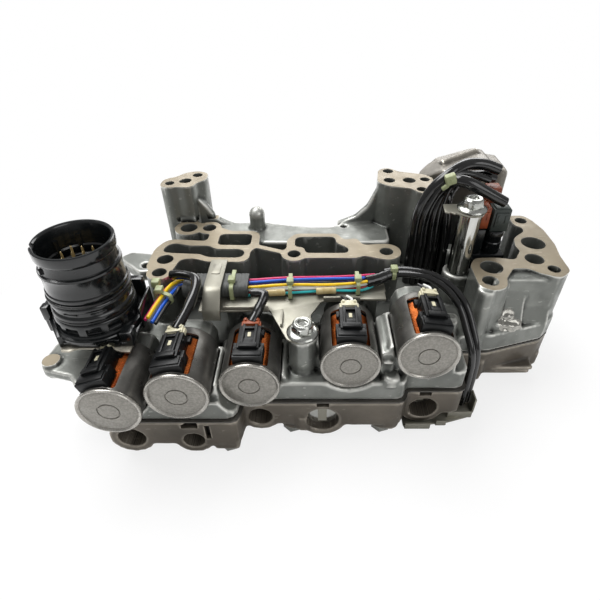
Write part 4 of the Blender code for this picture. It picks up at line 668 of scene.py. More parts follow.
def windingMesh():
    holder = makeObject("winding", bmesh.new(), [])
    coil = holder.modifiers.new("winding", "NODES")
    coil.node_group = windingTree()
    for name, value in (("Turns", solenoidSpec["turns"]), ("Pitch", solenoidSpec["pitch"] * mm),
                        ("Radius", solenoidSpec["coilRadius"] * mm), ("Wire", solenoidSpec["wire"] * mm),
                        ("Enamel", copperWire)):
        setInput(coil, name, value)
    baked(holder)
    mesh = holder.data.copy()
    bpy.data.objects.remove(holder)
    return mesh


def canShape(name):
    # the can at the drawing's origin: face towards -Y
    length, half = solenoidSpec["length"], solenoidSpec["windowHalf"]
    piece = bmesh.new()
    lathe(piece, [
        (0, 0.5), (5.0, 0.5), (5.2, 1.1), (5.6, 1.1), (5.8, 0.55), (6.6, 0.5), (13.2, 0.6), (13.9, 0.9), (14.3, 0.7),
        (14.7, 0.2), (15.2, 0.0), (15.7, 0.12), (16.0, 0.55), (16.0, 1.5), (15.8, 1.9), (15.3, 2.2), (15.25, 2.8),
        (15.6, 3.6), (15.6, length - 1.2), (15.2, length - 0.4), (14.4, length), (7.0, length), (7.0, length + 9.2),
        (6.4, length + 10.0), (0, length + 10.0)], drawingMiddle, axis="Y", sides=72)
    can = makeObject(name, piece, [canSteel, canFace, canRimHighlight])
    hollow = bmesh.new()
    lathe(hollow, [(0, 2.0), (14.3, 2.0), (14.3, length - 4), (0, length - 4)], drawingMiddle, axis="Y", sides=64)
    carve(can, makeObject("hollow", hollow, []))
    window = bmesh.new()
    block(window, Vector((-half, 3.2, 4)) + drawingMiddle, Vector((half, 30.5, 19)) + drawingMiddle, edge=1.2)
    carve(can, makeObject("window", window, []))
    for face in can.data.polygons:
        centre = face.center / mm
        if centre.y >= 1.6:
            face.material_index = 0
        # the rolled rim gets the painted highlight finish
        elif math.hypot(centre.x, centre.z) > 14.45:
            face.material_index = 2  # the rolled rim
        else:
            face.material_index = 1
    return can


def housingShape(piece):
    # black connector housing, moulded with the bobbin: nearest block, shoulders, neck and latch
    for low, high, edge in (
        ((-7.7, 3.2, 12.4), (7.7, 9.4, 18.9), 0.35), ((-7.0, 4.2, 18.4), (7.0, 9.4, 19.7), 0.25),
        ((-7.9, 8.6, 12.4), (-5.6, 14.0, 18.4), 0.3), ((5.6, 8.6, 12.4), (7.9, 14.0, 18.4), 0.3),
        ((-5.7, 8.4, 12.6), (5.7, 25.0, 20.6), 0.35), ((-4.6, 8.2, 20.0), (4.6, 11.2, 21.9), 0.25),
        ((-3.9, 11.0, 20.2), (-2.5, 24.6, 21.9), 0.2), ((2.5, 11.0, 20.2), (3.9, 24.6, 21.9), 0.2),
        ((-3.9, 21.6, 20.2), (3.9, 23.0, 21.8), 0.2), ((-2.6, 10.8, 20.2), (2.6, 14.4, 21.5), 0.2),
        ((-0.9, 16.2, 20.2), (0.9, 19.6, 20.95), 0.2), ((-6.1, 12.4, 14.2), (6.1, 13.6, 19.2), 0.2),
        ((-6.1, 20.0, 14.2), (6.1, 21.2, 19.2), 0.2), ((-6.9, 24.0, 12.0), (6.9, 28.6, 14.6), 0.4),
    ):
        # the small window in the latch is cream, the rest satin black
        mat = 2 if high[0] == 0.9 else 1
        block(piece, Vector(low) + drawingMiddle, Vector(high) + drawingMiddle, mat, edge)


def copyTo(name, mesh, seat):
    # a finished shape moved to its place, with its place in its mesh
    own = mesh.copy()
    own.name = name
    own.transform(seat)
    thing = bpy.data.objects.new(name, own)
    bpy.context.scene.collection.objects.link(thing)
    return thing


def makeSolenoids():
    can = canShape("canPattern")
    winding = windingMesh()
    coil = bmesh.new()
    turns = bmesh.new()
    turns.from_mesh(winding)
    bmesh.ops.transform(turns, matrix=Matrix.Translation(Vector((0, 3.2, 0)) * mm), verts=turns.verts)
    merge(coil, turns, 3)
    bobbin = [(6.15, 2.6), (13.7, 2.6), (13.7, 3.4), (12.7, 3.4), (12.7, 29.6), (13.8, 29.6), (13.8, 31.4),
              (6.15, 31.4)]
    lathe(coil, bobbin, drawingMiddle, axis="Y", sides=48, closed=True)
    housingShape(coil)
    coilThing = makeObject("coilPattern", coil, [blackNylon, satinNylon, creamNylon, copperWire])
    for number, axis in enumerate(solenoidSpec["axes"], 1):
        own = copyTo(f"solenoidCan{number}", can.data, seated(*axis))
        dress(own, f"solenoid_can_{number}", slot="steel", degrees=35)
        own = copyTo(f"solenoidCoil{number}", coilThing.data, seated(*axis))
        dress(own, f"solenoid_coil_{number}", slot="black_plastic", degrees=35)
    bpy.data.objects.remove(can)
    bpy.data.objects.remove(coilThing)


makeSolenoids()
print("solenoids made")


def clipShape(piece, x, y, z, scale):
    # terminal clip behind a housing: block, side latches and a raised lip
    w = 4.4 * scale
    blocks(piece, (
        ((x - w, y, z), (x + w, y + 5.6, z + 4.4), 0.4),
        ((x - w - 0.8, y + 0.6, z + 0.6), (x - w + 0.6, y + 4.6, z + 3.2), 0.3),
        ((x + w - 0.6, y + 0.6, z + 0.6), (x + w + 0.8, y + 4.6, z + 3.2), 0.3),
        ((x - w + 0.4, y + 0.2, z + 4.0), (x + w - 0.4, y + 1.4, z + 5.4), 0.25),
        ((x - w + 0.6, y + 3.6, z + 4.0), (x - w + 2.0, y + 5.4, z + 5.2), 0.25),
        ((x + w - 2.0, y + 3.6, z + 4.0), (x + w - 0.6, y + 5.4, z + 5.2), 0.25),
        ((x - 1.6, y + 1.6, z + 4.1), (x + 1.6, y + 5.4, z + 4.7), 0.2),
    ))


leadRoutes = {
    2: [(-76.5, -17.0, 82.6), (-68.0, -19.5, 84.4), (-60.5, -25.0, 84.6), (-61.0, -40.0, 81.5)],
    3: [(-30.0, -27.6, 78.0), (-23.0, -29.5, 78.5), (-25.0, -35.5, 75.0)],
}


def makeClips():
    for number, axis in enumerate(solenoidSpec["axes"], 1):
        piece = bmesh.new()
        # the clip of solenoid 1 is cut short by the connector's base plate
        back, high, scale = (23.2, 14.7, 0.75) if number == 1 else (25.1, 16.3, 1.0)
        clipShape(piece, drawingMiddle.x, drawingMiddle.y + back, high, scale)
        bmesh.ops.transform(piece, matrix=seated(*axis), verts=piece.verts)
        if number == 1:
            dress(makeObject("terminalClip1", piece, [creamNylon]), slot="cream_plastic")
            continue
        if number in leadRoutes:
            tip = onDrawing(seated(*axis) @ (Vector((0.3, 29.3, 19.2)) * mm))
            tube(piece, [*leadRoutes[number], tip], 2.7, 1, sides=16, spacing=1.5,
                 swell=lambda t: 1.0 + 0.06 * math.sin(21 * t))
        else:
            for offset, paint in ((-1.5, 2), (1.5, 3)):
                route = [Vector(p) for p in ((offset, 30.1, 18.7), (offset * 1.2, 33.6, 19.1), (offset - 2, 38, 17.7))]
                route = [onDrawing(seated(*axis) @ (spot * mm)) for spot in route]
                tube(piece, route, 0.8, paint, sides=8, spacing=1.0)
        shade = orangeNylon if number == 3 else creamNylon
        thing = makeObject(f"terminalClip{number}", piece, [shade, blackSheath, wirePaint["black"], wirePaint["white"]])
        dress(thing, f"terminal_clip_{number}", slot="orange_plastic" if number == 3 else "cream_plastic")


makeClips()

connectorSpec = {
    "x": -111.5, "y": -40.0, "radius": 20.0, "top": 120.5, "bottom": 71.6,
    "windows": 12,  # round the foot
    "keys": (35, 110, 150, 215, 265, 330),  # degrees, inside the socket
    "pinRows": (3, 4, 3), "pitch": 5.4,
}


def ringBox(piece, size, angle, reach, height, bevel=0.0, steps=1):
    # a box that stands round the connector's axis, at an angle in degrees and a distance
    part = bmesh.new()
    bmesh.ops.create_cube(part, size=1.0, matrix=Matrix.Diagonal((*(Vector(size) * mm), 1.0)))
    if bevel:
        bmesh.ops.bevel(part, geom=part.edges[:], offset=bevel * mm, segments=steps, affect="EDGES")
    turn = Matrix.Rotation(math.radians(angle), 4, "Z") @ Matrix.Translation(Vector((reach, 0, 0)) * mm)
    middle = at(connectorSpec["x"], connectorSpec["y"], height)
    bmesh.ops.transform(part, matrix=Matrix.Translation(middle) @ turn, verts=part.verts)
    merge(piece, part)


def makeConnector():
    spec = connectorSpec
    x, y, r, top, bottom = spec["x"], spec["y"], spec["radius"], spec["top"], spec["bottom"]
    piece = bmesh.new()
    lathe(piece, [
        (0, 99.4), (16.4, 99.4), (16.4, 107.0), (17.0, 107.8), (17.2, top - 1.0), (17.6, top - 0.3), (18.0, top),
        (18.8, top), (19.2, top - 0.4), (19.3, top - 1.0), (19.3, top - 4.6), (19.1, top - 5.4), (18.4, top - 6.4),
        (18.35, top - 11.2), (18.6, top - 11.8), (19.6, top - 12.2), (19.75, top - 13.2), (19.3, top - 14.0),
        (19.2, 101.0), (19.4, 97.6), (20.0, 97.0), (20.1, 96.2), (20.0, 95.2), (19.8, 94.8), (18.6, 94.6),
        (18.6, 92.4), (19.8, 92.2), (20.2, 91.6), (20.3, 90.2), (20.0, 89.6), (19.4, 89.2), (19.5, 87.0),
        (20.2, 86.4), (20.6, 85.6), (20.6, 84.4), (19.4, 84.0), (19.2, 82.6), (20.4, 82.2), (20.9, 81.4),
        (20.9, 75.0), (21.6, 74.4), (23.0, 74.2), (23.4, 73.6), (23.4, 72.2), (23.0, bottom), (0, bottom)],
          (x, y, 0), sides=96)
    shell = makeObject("shellBlank", piece, [blackNylon])
    cutter = bmesh.new()
    for number in range(spec["windows"]):
        ringBox(cutter, (3.4, 7.0, 4.2), 360 * (number + 0.5) / spec["windows"], r + 0.8, 77.9, bevel=0.3)
    # a notch in the rim and two shallow flats
    for angle, width, low, high, depth in ((200, 4.0, top - 4.4, top + 2, 3.6), (-38, 13.0, 97.6, 104.6, 0.9),
                                           (20, 9.0, 97.8, 104.4, 0.8)):
        ringBox(cutter, (4, width, high - low), angle, r + 2.6 - depth, (low + high) / 2)
    carve(shell, makeObject("windows", cutter, []))
    extra = bmesh.new()
    extra.from_mesh(shell.data)
    for angle, height, size in ((188, 111.2, (1.6, 4.0, 4.6)), (230, 111.0, (1.2, 3.0, 3.4)),
                                (-60, 88.2, (1.4, 8.0, 1.4)), (-100, 88.2, (1.4, 8.0, 1.4))):
        ringBox(extra, size, angle, r - 1.0, height, bevel=0.5, steps=2)
    for angle in spec["keys"]:
        ringBox(extra, (1.6, 2.2, 11), angle, 16.6, 108.5)
    bpy.data.objects.remove(shell)
    dress(makeObject("connectorShell", extra, [blackNylon]), "connector_shell", slot="black_plastic", degrees=32)

    pins = bmesh.new()
    lathe(pins, [(0, 102.4), (15.9, 102.4), (16.2, 102.0), (16.2, 100.8), (0, 100.8)], (x, y, 0), sides=64, mat=1)
    collar = [(12.2, 102.2), (12.2, 104.4), (12.8, 104.8), (13.6, 104.8), (14.2, 104.2), (14.2, 102.2)]
    lathe(pins, collar, (x, y, 0), sides=64, mat=1)
    for row, count in enumerate(spec["pinRows"]):
        for number in range(count):
            spot = (x + (number - (count - 1) / 2) * spec["pitch"], y + (row - 1) * spec["pitch"], 0)
            lathe(pins, [(0, 112.9), (0.25, 112.8), (0.6, 111.6), (0.6, 103.6), (1.3, 103.4), (1.3, 102.0), (0, 102.0)],
                  spot, sides=14)
    dress(makeObject("connectorPins", pins, [tinnedPin, satinNylon]), "connector_pins", slot="gold_pins")

    seal = bmesh.new()
    for level, inner in ((93.5, 18.8), (83.3, 19.3)):
        lathe(seal, [(inner, level - 0.9), (20.0, level - 1.0), (20.6, level - 0.5), (20.75, level),
                     (20.6, level + 0.5), (20.0, level + 0.9), (inner, level + 0.9)], (x, y, 0), sides=96, closed=True)
    dress(makeObject("connectorSeal", seal, [blackRubber]), "connector_seal", slot="black_rubber")


def makeConnectorBase():
    x, y = connectorSpec["x"], connectorSpec["y"]
    base = bmesh.new()
    outline = rounded([(x - 24.3, y - 6, 4), (x - 12.5, y - 20.8, 4), (x + 23.8, y - 20.8, 5), (x + 23.8, y + 21.6, 6),
                       (x - 24.3, y + 21.6, 6)])
    plate(base, outline, 69.1, 71.3, edge=0.5)
    # wall along the cut corner, then the lugs
    wall = ((x - 26.0, y - 4.5), (x - 13.6, y - 21.6), (x - 11.5, y - 20.4), (x - 23.4, y - 3.6))
    plate(base, [Vector(p) for p in wall], 65.0, 75.5, edge=0.6)
    blocks(base, (
        ((x - 27.3, y - 5.5, 65.2), (x - 24.0, y + 10, 81.4), 0.8),
        ((x + 23.8, y - 6, 68.3), (x + 25.1, y + 14, 81.8), 0.4),
        ((x - 26.6, y - 7, 74.0), (x - 22.6, y - 2, 83.0), 0.8),
        ((x + 17.6, y - 20.4, 68.6), (x + 24.0, y - 13.5, 77.6), 0.8),
        ((x - 25.4, y + 12.0, 69.4), (x - 20.5, y + 20.5, 83.0), 0.8),
        ((x - 8.0, y - 21.4, 68.9), (x + 8.0, y - 19.4, 71.8), 0.4),
        ((x + 12.0, y + 17.0, 70.0), (x + 20.0, y + 21.4, 84.0), 0.8),
        ((x + 11.0, y - 21.2, 68.9), (x + 17.0, y - 19.6, 73.4), 0.4),
    ))
    dress(makeObject("connectorBase", base, [blackNylon]), "connector_base", slot="black_plastic")

    sheet = bmesh.new()
    edge = [(-22.3, -6), (-13.2, -22.5), (-12.6, -24.0), (-8.6, -24.3), (-6.2, -22.8), (-4.4, -22.0), (11.6, -22.0),
            (14.6, -23.2), (18, -24.4), (22.8, -24.8), (22.8, 19.6), (-22.3, 19.6)]
    plate(sheet, [Vector((x + px, y + py)) for px, py in edge], 67.7, 68.8, edge=0.2)
    dress(makeObject("retainingPlate", sheet, [springSheet]), "retaining_plate", slot="steel")


makeConnector()
makeConnectorBase()
print("connector made")

# left and right are the ends of the harness sleeve; each wire has its column, its row and its colour
harnessSpec = {
    "trayTop": 70.2, "left": -70.0, "right": -33.0,
    "pitch": 2.3, "leftRadius": 1.05, "rightRadius": 0.85,
    "leftWires": ((0, 0, "pink"), (1, 0, "grey"), (2, 0, "blue"), (3, 0, "black"), (1, 1, "yellow")),
    "rightWires": ((0, 1, "blue"), (2, 0, "pink"), (3, 0, "red"), (4, 0, "teal"), (0, 2, "pink"), (1, 2, "blue"),
                   (3, 2, "yellow"), (1, 1, "violet"), (2, 1, "black"), (3, 1, "white")),
}


def sheetStrip(piece, path, left, right, thick):
    # a strip bent along a (y, z) path, between two x places
    path = [Vector(p) for p in path]
    upper, lower = [], []
    for i, here in enumerate(path):
        ahead = path[min(i + 1, len(path) - 1)] - path[max(i - 1, 0)]
        normal = Vector((-ahead.y, ahead.x)).normalized()
        upper.append(here + normal * thick / 2)
        lower.append(here - normal * thick / 2)
    plate(piece, upper + lower[::-1], left, right, edge=0.25, axis="X")


def hexHead(piece, x, y, low, high, across):
    # across is the size of the spanner
    corner = across / 2 / math.cos(math.pi / 6)
    angles = [math.tau * i / 6 + 0.3 for i in range(6)]
    points = [Vector((x + corner * math.cos(angle), y + corner * math.sin(angle))) for angle in angles]
    plate(piece, points, low, high, edge=0.5)


def flangeBolt(name, node, x, y, seat, grip):
    # seat is the level under its flange, grip the length below it
    piece = bmesh.new()
    lathe(piece, [(0, seat + 2.2), (5.8, seat + 2.2), (6.6, seat + 2.0), (8.2, seat + 1.2), (8.6, seat + 0.6),
                  (8.5, seat), (3.2, seat), (3.1, seat - grip + 0.6), (2.6, seat - grip), (0, seat - grip)],
          (x, y, 0), sides=48)
    hexHead(piece, x, y, seat + 1.6, seat + 5.6, 10.6)
    # domed top with a round recess
    lathe(piece, [(0, seat + 5.7), (2.5, seat + 5.7), (2.8, seat + 6.9), (3.4, seat + 7.1), (4.5, seat + 6.9),
                  (5.3, seat + 6.2), (5.6, seat + 5.2), (5.6, seat + 1.6), (0, seat + 1.6)], (x, y, 0), sides=40)
    dress(makeObject(name, piece, [zincBolt]), node, slot="bright_steel", degrees=30)


boltSpec = {"sleeve": (95.5, 9.4), "front": (-1.5, -51.8), "bottom": ((-44.0, -71.0), (-8.0, -58.0), (45.0, -58.0))}


def makeMetalwork():
    tray = bmesh.new()
    outline = [(-60, -34, 1), (-47, -34, 1), (-20, -33.5, 2), (-9.5, -57.4, 4), (-1.5, -60.2, 6), (5.5, -52, 6),
               (2.5, -38, 3), (9, -25, 3), (30, -24, 3), (46.8, -17, 3), (46.8, -6.2, 2), (-59.8, -5.2, 2)]
    plate(tray, rounded(outline), 69.0, harnessSpec["trayTop"], edge=0.25)
    blocks(tray, (
        ((-46.5, -33.4, 69.6), (-21, -32.2, 72.6)), ((10, -25.0, 69.6), (31, -23.8, 72.8)),
        ((31, -24.2, 69.6), (46, -18.0, 70.9)), ((-30, -12, 69.9), (-24, -8, 70.6)),
        ((-13.6, -47.5, 69.8), (-12.4, -35.0, 72.4)),
    ), edge=0.3)
    # the strap over the harness sleeve
    strap = [(-37.0, 66.2), (-37.0, 71.6), (-36.2, 73.2), (-29.0, 79.6), (-27.5, 80.4), (-25.0, 80.6), (0.9, 80.6)]
    sheetStrip(tray, strap, -56.9, -47.2, 1.3)
    block(tray, (-54.6, -14, 81.0), (-49.6, -4, 81.7), edge=0.4)
    dress(makeObject("harnessTray", tray, [zincSheet]), "harness_tray", slot="zinc_plate")

    lower = bmesh.new()
    plate(lower, rounded([(58.4, -61.4, 1.5), (86, -57.8, 3), (102.6, -52.8, 3), (102.6, -41.2, 3), (90, -41.2, 2),
                          (58.4, -52.4, 2)]), 1.3, 2.6, edge=0.25)
    sheetStrip(lower, [(-62.0, 7.0), (-62.2, 3.0), (-61.8, 1.9), (-60.5, 1.6), (-56, 1.9)], 59.0, 74.0, 1.2)
    sheetStrip(lower, [(-59.6, 6.4), (-60.0, 3.0), (-59.4, 1.9), (-57.5, 1.7), (-52, 1.9)], 78.0, 84.0, 1.2)
    blocks(lower, (((102.3, -50.6, 1.6), (103.6, -42.2, 13.6)), ((86, -54.6, 2.2), (101, -53.4, 7.5)),
                   ((88.5, -50.5, 2.2), (100.5, -44.5, 3.6))))
    dress(makeObject("lowerBracket", lower, [zincSheet]), "lower_bracket", slot="zinc_plate")

    x, y = boltSpec["sleeve"]
    sleeve = bmesh.new()
    wall = [(4.3, 108.7), (6.2, 108.7), (6.65, 108.2), (6.65, 68.9), (6.2, 68.4), (4.3, 68.4)]
    lathe(sleeve, wall, (x, y, 0), sides=64, closed=True)
    dress(makeObject("steelSleeve", sleeve, [polishedSteel]), "steel_sleeve", slot="bright_steel", degrees=30)
    tab = bmesh.new()
    edge = [(-16, -3), (-13.5, -4.4), (-13.0, -3.2), (-10.8, -5.6), (-10.2, -4.6), (-4, -8.4),
            (4, -8.2), (8.4, -2), (8.2, 6), (3, 8.2), (-4, 7), (-15, 6.6)]
    plate(tab, [Vector((x + px, y + py)) for px, py in edge], 109.2, 110.3, edge=0.3)
    dress(makeObject("sleeveTab", tab, [zincSheet]), "sleeve_tab", slot="zinc_plate")
    flangeBolt("sleeveBolt", "sleeve_bolt", x, y, 110.7, 49.0)
    flangeBolt("frontBolt", "front_bolt", *boltSpec["front"], 70.5, 11.8)
    for number, (x, y) in enumerate(boltSpec["bottom"], 1):
        bolt = bmesh.new()
        hexHead(bolt, x, y, 0.0, 4.6, 10.2)
        lathe(bolt, [(0, 5.0), (5.6, 5.0), (5.9, 4.6), (5.9, 4.0), (0, 4.0)], (x, y, 0), sides=32)
        lathe(bolt, [(0, 16.6), (2.5, 16.6), (2.9, 16.0), (2.9, 4.6)], (x, y, 0), sides=24)
        thing = makeObject(f"bottomBolt{number}", bolt, [zincBolt])
        dress(thing, f"bottom_bolt_{number}", slot="bright_steel", degrees=30)


makeMetalwork()
print("metalwork made")

def leftWire(column, row):
    # from the connector to just inside the sleeve
    side, rise = column * harnessSpec["pitch"], row * harnessSpec["pitch"]
    end = harnessSpec["left"] - 0.3
    return [(-84.6 + side * 0.9, -47.0 - side * 0.45, 75.0 + rise),
            (-82.2 + side * 0.9, -35.0 - side * 0.45, 76.0 + rise),
            (-79.0 + side * 0.85, -20.5 - side * 0.7, 76.0 + rise), (end - 2.5, -12.0 - side, 75.0 + rise),
            (end + 1.5, -12.0 - side, 75.0 + rise)]


def rightWire(column, row):
    # from inside the sleeve along the tray, a little untidy
    side, rise = column * harnessSpec["pitch"], row * harnessSpec["pitch"] * 0.9
    low = harnessSpec["trayTop"] + 1.2
    wave = [chance.uniform(-0.9, 0.9) for _ in range(6)]
    start = harnessSpec["right"] - 1.5
    return [(start, -12.0 - side, low + rise), (start + 4.5, -12.0 - side, low + rise),
            (-12.0, -11.0 - side + wave[0], low + rise + 0.5 + abs(wave[1])),
            (14.0, -9.6 - side + wave[2], low + rise + abs(wave[3])),
            (32.0, -8.6 - side + wave[4] * 0.5, low + rise + 0.8), (42.0, -7.6 - side * 0.55, low + rise * 0.7 + 2.0)]


tieLook = {"width": 2.2, "thick": 1.0}


def tieBand(piece, start, end, low, high, mat):
    # a cable tie: a flat loop round the wires, standing across them, with its head on top
    width, thick = tieLook["width"], tieLook["thick"]
    start, end = Vector(start), Vector(end)
    along = (end - start).normalized()
    cross = Vector((along.y, -along.x))
    length = (end - start).length
    loop = rounded([(0, low, 1.6), (length, low, 1.6), (length, high, 1.6), (0, high, 1.6)], 22)
    inner = rounded([(thick, low + thick, 1.0), (length - thick, low + thick, 1.0),
                     (length - thick, high - thick, 1.0), (thick, high - thick, 1.0)], 22)
    part = bmesh.new()
    rings = []
    for side in (-width / 2, width / 2):
        for outline in (loop, inner):
            rings.append([part.verts.new(at(*(start + along * p[0] + cross * side), p[1])) for p in outline])
    near, nearIn, far, farIn = rings
    for i in range(len(near)):
        j = (i + 1) % len(near)
        for first, second in ((near, far), (nearIn, farIn), (near, nearIn), (far, farIn)):
            part.faces.new((first[i], first[j], second[j], second[i]))
    bmesh.ops.recalc_face_normals(part, faces=part.faces)
    merge(piece, part, mat)
    head = start + along * length * 0.35
    block(piece, (head.x - 2.0, head.y - 2.4, high - 0.2), (head.x + 2.0, head.y + 2.4, high + 2.6), mat, 0.5)


def makeHarness():
    names = list(wirePaint)
    paints = [*wirePaint.values(), tieNylon, clearSplice]
    tie, splice = len(names), len(names) + 1
    left = bmesh.new()
    for column, row, colour in harnessSpec["leftWires"]:
        tube(left, leftWire(column, row), harnessSpec["leftRadius"], names.index(colour), sides=12, spacing=1.5)
    tieBand(left, (-84.5, -27.0), (-73.5, -32.5), 73.8, 80.2, tie)
    block(left, (-86.5, -24.5, 79.0), (-82.0, -20.0, 83.0), tie, 0.6)
    dress(makeObject("wireLoomLeft", left, paints), "wire_loom_left", slot="wire_insulation")

    right = bmesh.new()
    for column, row, colour in harnessSpec["rightWires"]:
        tube(right, rightWire(column, row), harnessSpec["rightRadius"], names.index(colour), sides=10, spacing=2.0)
    low = harnessSpec["trayTop"] + 0.2
    tieBand(right, (-9.0, -24.5), (-9.0, -8.5), low, low + 8.2, tie)
    tieBand(right, (30.0, -21.0), (30.0, -6.0), low, low + 8.0, tie)
    for x, y in ((-23.0, -22.2), (6.0, -20.4)):
        height = low + 3.2
        tube(right, [(x, y, height), (x + 5, y + 0.3, height + 0.2), (x + 11, y + 0.8, height)], 2.0, splice, sides=14)
    dress(makeObject("wireLoomRight", right, paints), "wire_loom_right", slot="wire_insulation")

    # the taped sleeve: its section swells and shrinks a little with the turns of the tape
    sleeve = bmesh.new()
    section = rounded([(-24.9, 70.6, 4), (-7.6, 70.6, 4), (-7.6, 79.4, 4), (-24.9, 79.4, 4)], 15)
    rings = []
    steps = 60
    middle = Vector((-16.25, 75.0))
    for i in range(steps + 1):
        x = -69.9 + 36.8 * i / steps
        swell = 0.965 + 0.02 * math.sin(i * 1.9) + 0.01 * math.sin(i * 0.7)
        rings.append([sleeve.verts.new(at(x, *(middle + (p - middle) * swell))) for p in section])
    for first, second in zip(rings, rings[1:]):
        for i in range(len(section)):
            j = (i + 1) % len(section)
            sleeve.faces.new((first[i], first[j], second[j], second[i]))
    sleeve.faces.new(rings[0])
    sleeve.faces.new(rings[-1])
    bmesh.ops.recalc_face_normals(sleeve, faces=sleeve.faces)
    tieBand(sleeve, (-42.0, -25.6), (-42.0, -6.9), 70.3, 80.0, 1)
    dress(makeObject("harnessSleeve", sleeve, [sleeveTape, tieNylon]), "harness_sleeve", slot="grey_plastic")


def mainRoute(side):
    # the main cable: along the tray, over the tower's left side and down to the lower bracket
    return [(47.5, -7.5 + side, 75.0), (57.0 + side * 0.1, -8.5 + side, 77.5),
            (70.0 + side * 0.5, -13.5 + side * 0.86, 78.5), (80.0 + side * 0.8, -20.5 + side * 0.6, 75.5),
            (86.5 + side * 0.9, -30.0 + side * 0.44, 70.0), (90.5 + side * 0.9, -38.0 + side * 0.44, 60.0),
            (94.2 + side * 0.8, -46.0 + side * 0.6, 47.5), (95.8 + side * 0.8, -46.5 + side * 0.6, 31.0),
            (96.2 + side * 0.8, -46.5 + side * 0.6, 6.0)]


bundleSpec = {
    "radii": (3.3, 3.3, 3.3, 3.3, 2.2, 2.2),
    "ends": ("pink", "white", "blue", "grey", "pink", "red"),
    "routes": (
        [(69.2, 27, 46.4), (69.0, 26.5, 75), (69.5, 26.5, 98), (74.5, 27, 112.5), (82.5, 28, 121.5), (91, 33, 125.2),
         (99, 38, 125.8), (109, 40, 124.4), (118.5, 40.5, 121.0)],
        [(76.2, 27.6, 46.4), (76.0, 27.5, 75), (76.0, 27.5, 96), (79.5, 27.5, 110), (86.0, 25.5, 120.0),
         (92, 22.5, 121.5), (99, 20.8, 119.2), (110, 20.2, 113.6), (118.5, 20.4, 109.2)],
        [(83.2, 27.2, 46.4), (83.0, 27.2, 75), (82.5, 28.0, 96), (84.5, 30.5, 110), (89.5, 33.0, 117.6),
         (96, 36.0, 118.8), (104, 39.5, 117.4), (112, 43.0, 116.2), (118.5, 45.2, 113.6)],
        [(90.0, 27.5, 46.4), (89.6, 27.5, 75), (88.2, 28.6, 94), (87.2, 31.5, 106), (92.5, 38.0, 112.0),
         (101, 44.5, 113.0), (110, 48.5, 112.0)],
        # thinner sheaths between the four main ones
        [(72.6, 24.4, 46.4), (72.5, 24.0, 76), (73.0, 24.2, 98), (77.5, 25.4, 111), (83.0, 26.0, 119.0),
         (88.0, 29.0, 122.5), (95, 31.0, 122.5), (104, 33.0, 120.0), (112, 36.0, 116.5)],
        [(79.6, 24.6, 46.4), (79.4, 24.4, 76), (79.0, 25.0, 97), (81.5, 26.5, 108), (85.0, 27.5, 116.0),
         (90.0, 29.0, 119.0), (96, 30.5, 117.5), (101, 31.0, 113.5)],
    ),
}


def makeCables():
    cable = bmesh.new()
    for side in (0.0, 4.4):
        tube(cable, mainRoute(side), 2.1, 0, sides=20, spacing=2.5)
    # black tape that takes over the wires of the loom
    tube(cable, [(35.5, -12.5, 74.2), (42.0, -10.5, 74.8), (49.0, -7.2, 75.6), (54.5, -6.2, 76.6)], 4.0, 0, sides=24,
         spacing=1.2, swell=lambda t: 1.0 - 0.22 * t + 0.03 * math.sin(38 * t))
    tieBand(cable, (52.0, -10.4), (52.0, -0.6), 73.4, 79.0, 1)
    dress(makeObject("mainCable", cable, [blackSheath, tieNylon]), "main_cable", slot="black_rubber")

    bundle = bmesh.new()
    names = list(wirePaint)
    sheaths = zip(bundleSpec["radii"], bundleSpec["ends"], bundleSpec["routes"])
    for index, (radius, colour, route) in enumerate(sheaths):
        tube(bundle, route, radius, 0, sides=20, spacing=2.5, endMat=2 + names.index("black"),
             swell=lambda t, k=index: 1.0 + 0.05 * math.sin(9 * t + k))
        tip, before = Vector(route[-1]), Vector(route[-2])
        out = (tip - before).normalized()
        # three wires show at each cut end
        for k, shade in enumerate((colour, "black", "white")):
            shift = Vector((0, math.cos(2.1 * k), math.sin(2.1 * k))) * radius * 0.4
            tube(bundle, [tip - out * 2 + shift, tip + out * 0.8 + shift], 0.75, 2 + names.index(shade),
                 sides=8, spacing=1.0)
    # the tie that gathers them, its head to the front
    lean = Matrix.Rotation(math.radians(-38), 4, "Y")
    headLean = Matrix.Rotation(math.radians(-20), 4, "Y")
    block(bundle, (79.2, 22.6, 117.6), (89.6, 33.4, 120.4), 1, 1.0, turn=lean)
    block(bundle, (81.2, 20.6, 119.6), (87.4, 25.4, 125.6), 1, 0.9, turn=headLean)
    block(bundle, (83.6, 20.2, 121.6), (85.2, 25.6, 123.4), 1, 0.3)
    thing = makeObject("cableBundle", bundle, [blackSheath, tieNylon, *wirePaint.values()])
    dress(thing, "cable_bundle", slot="black_rubber")


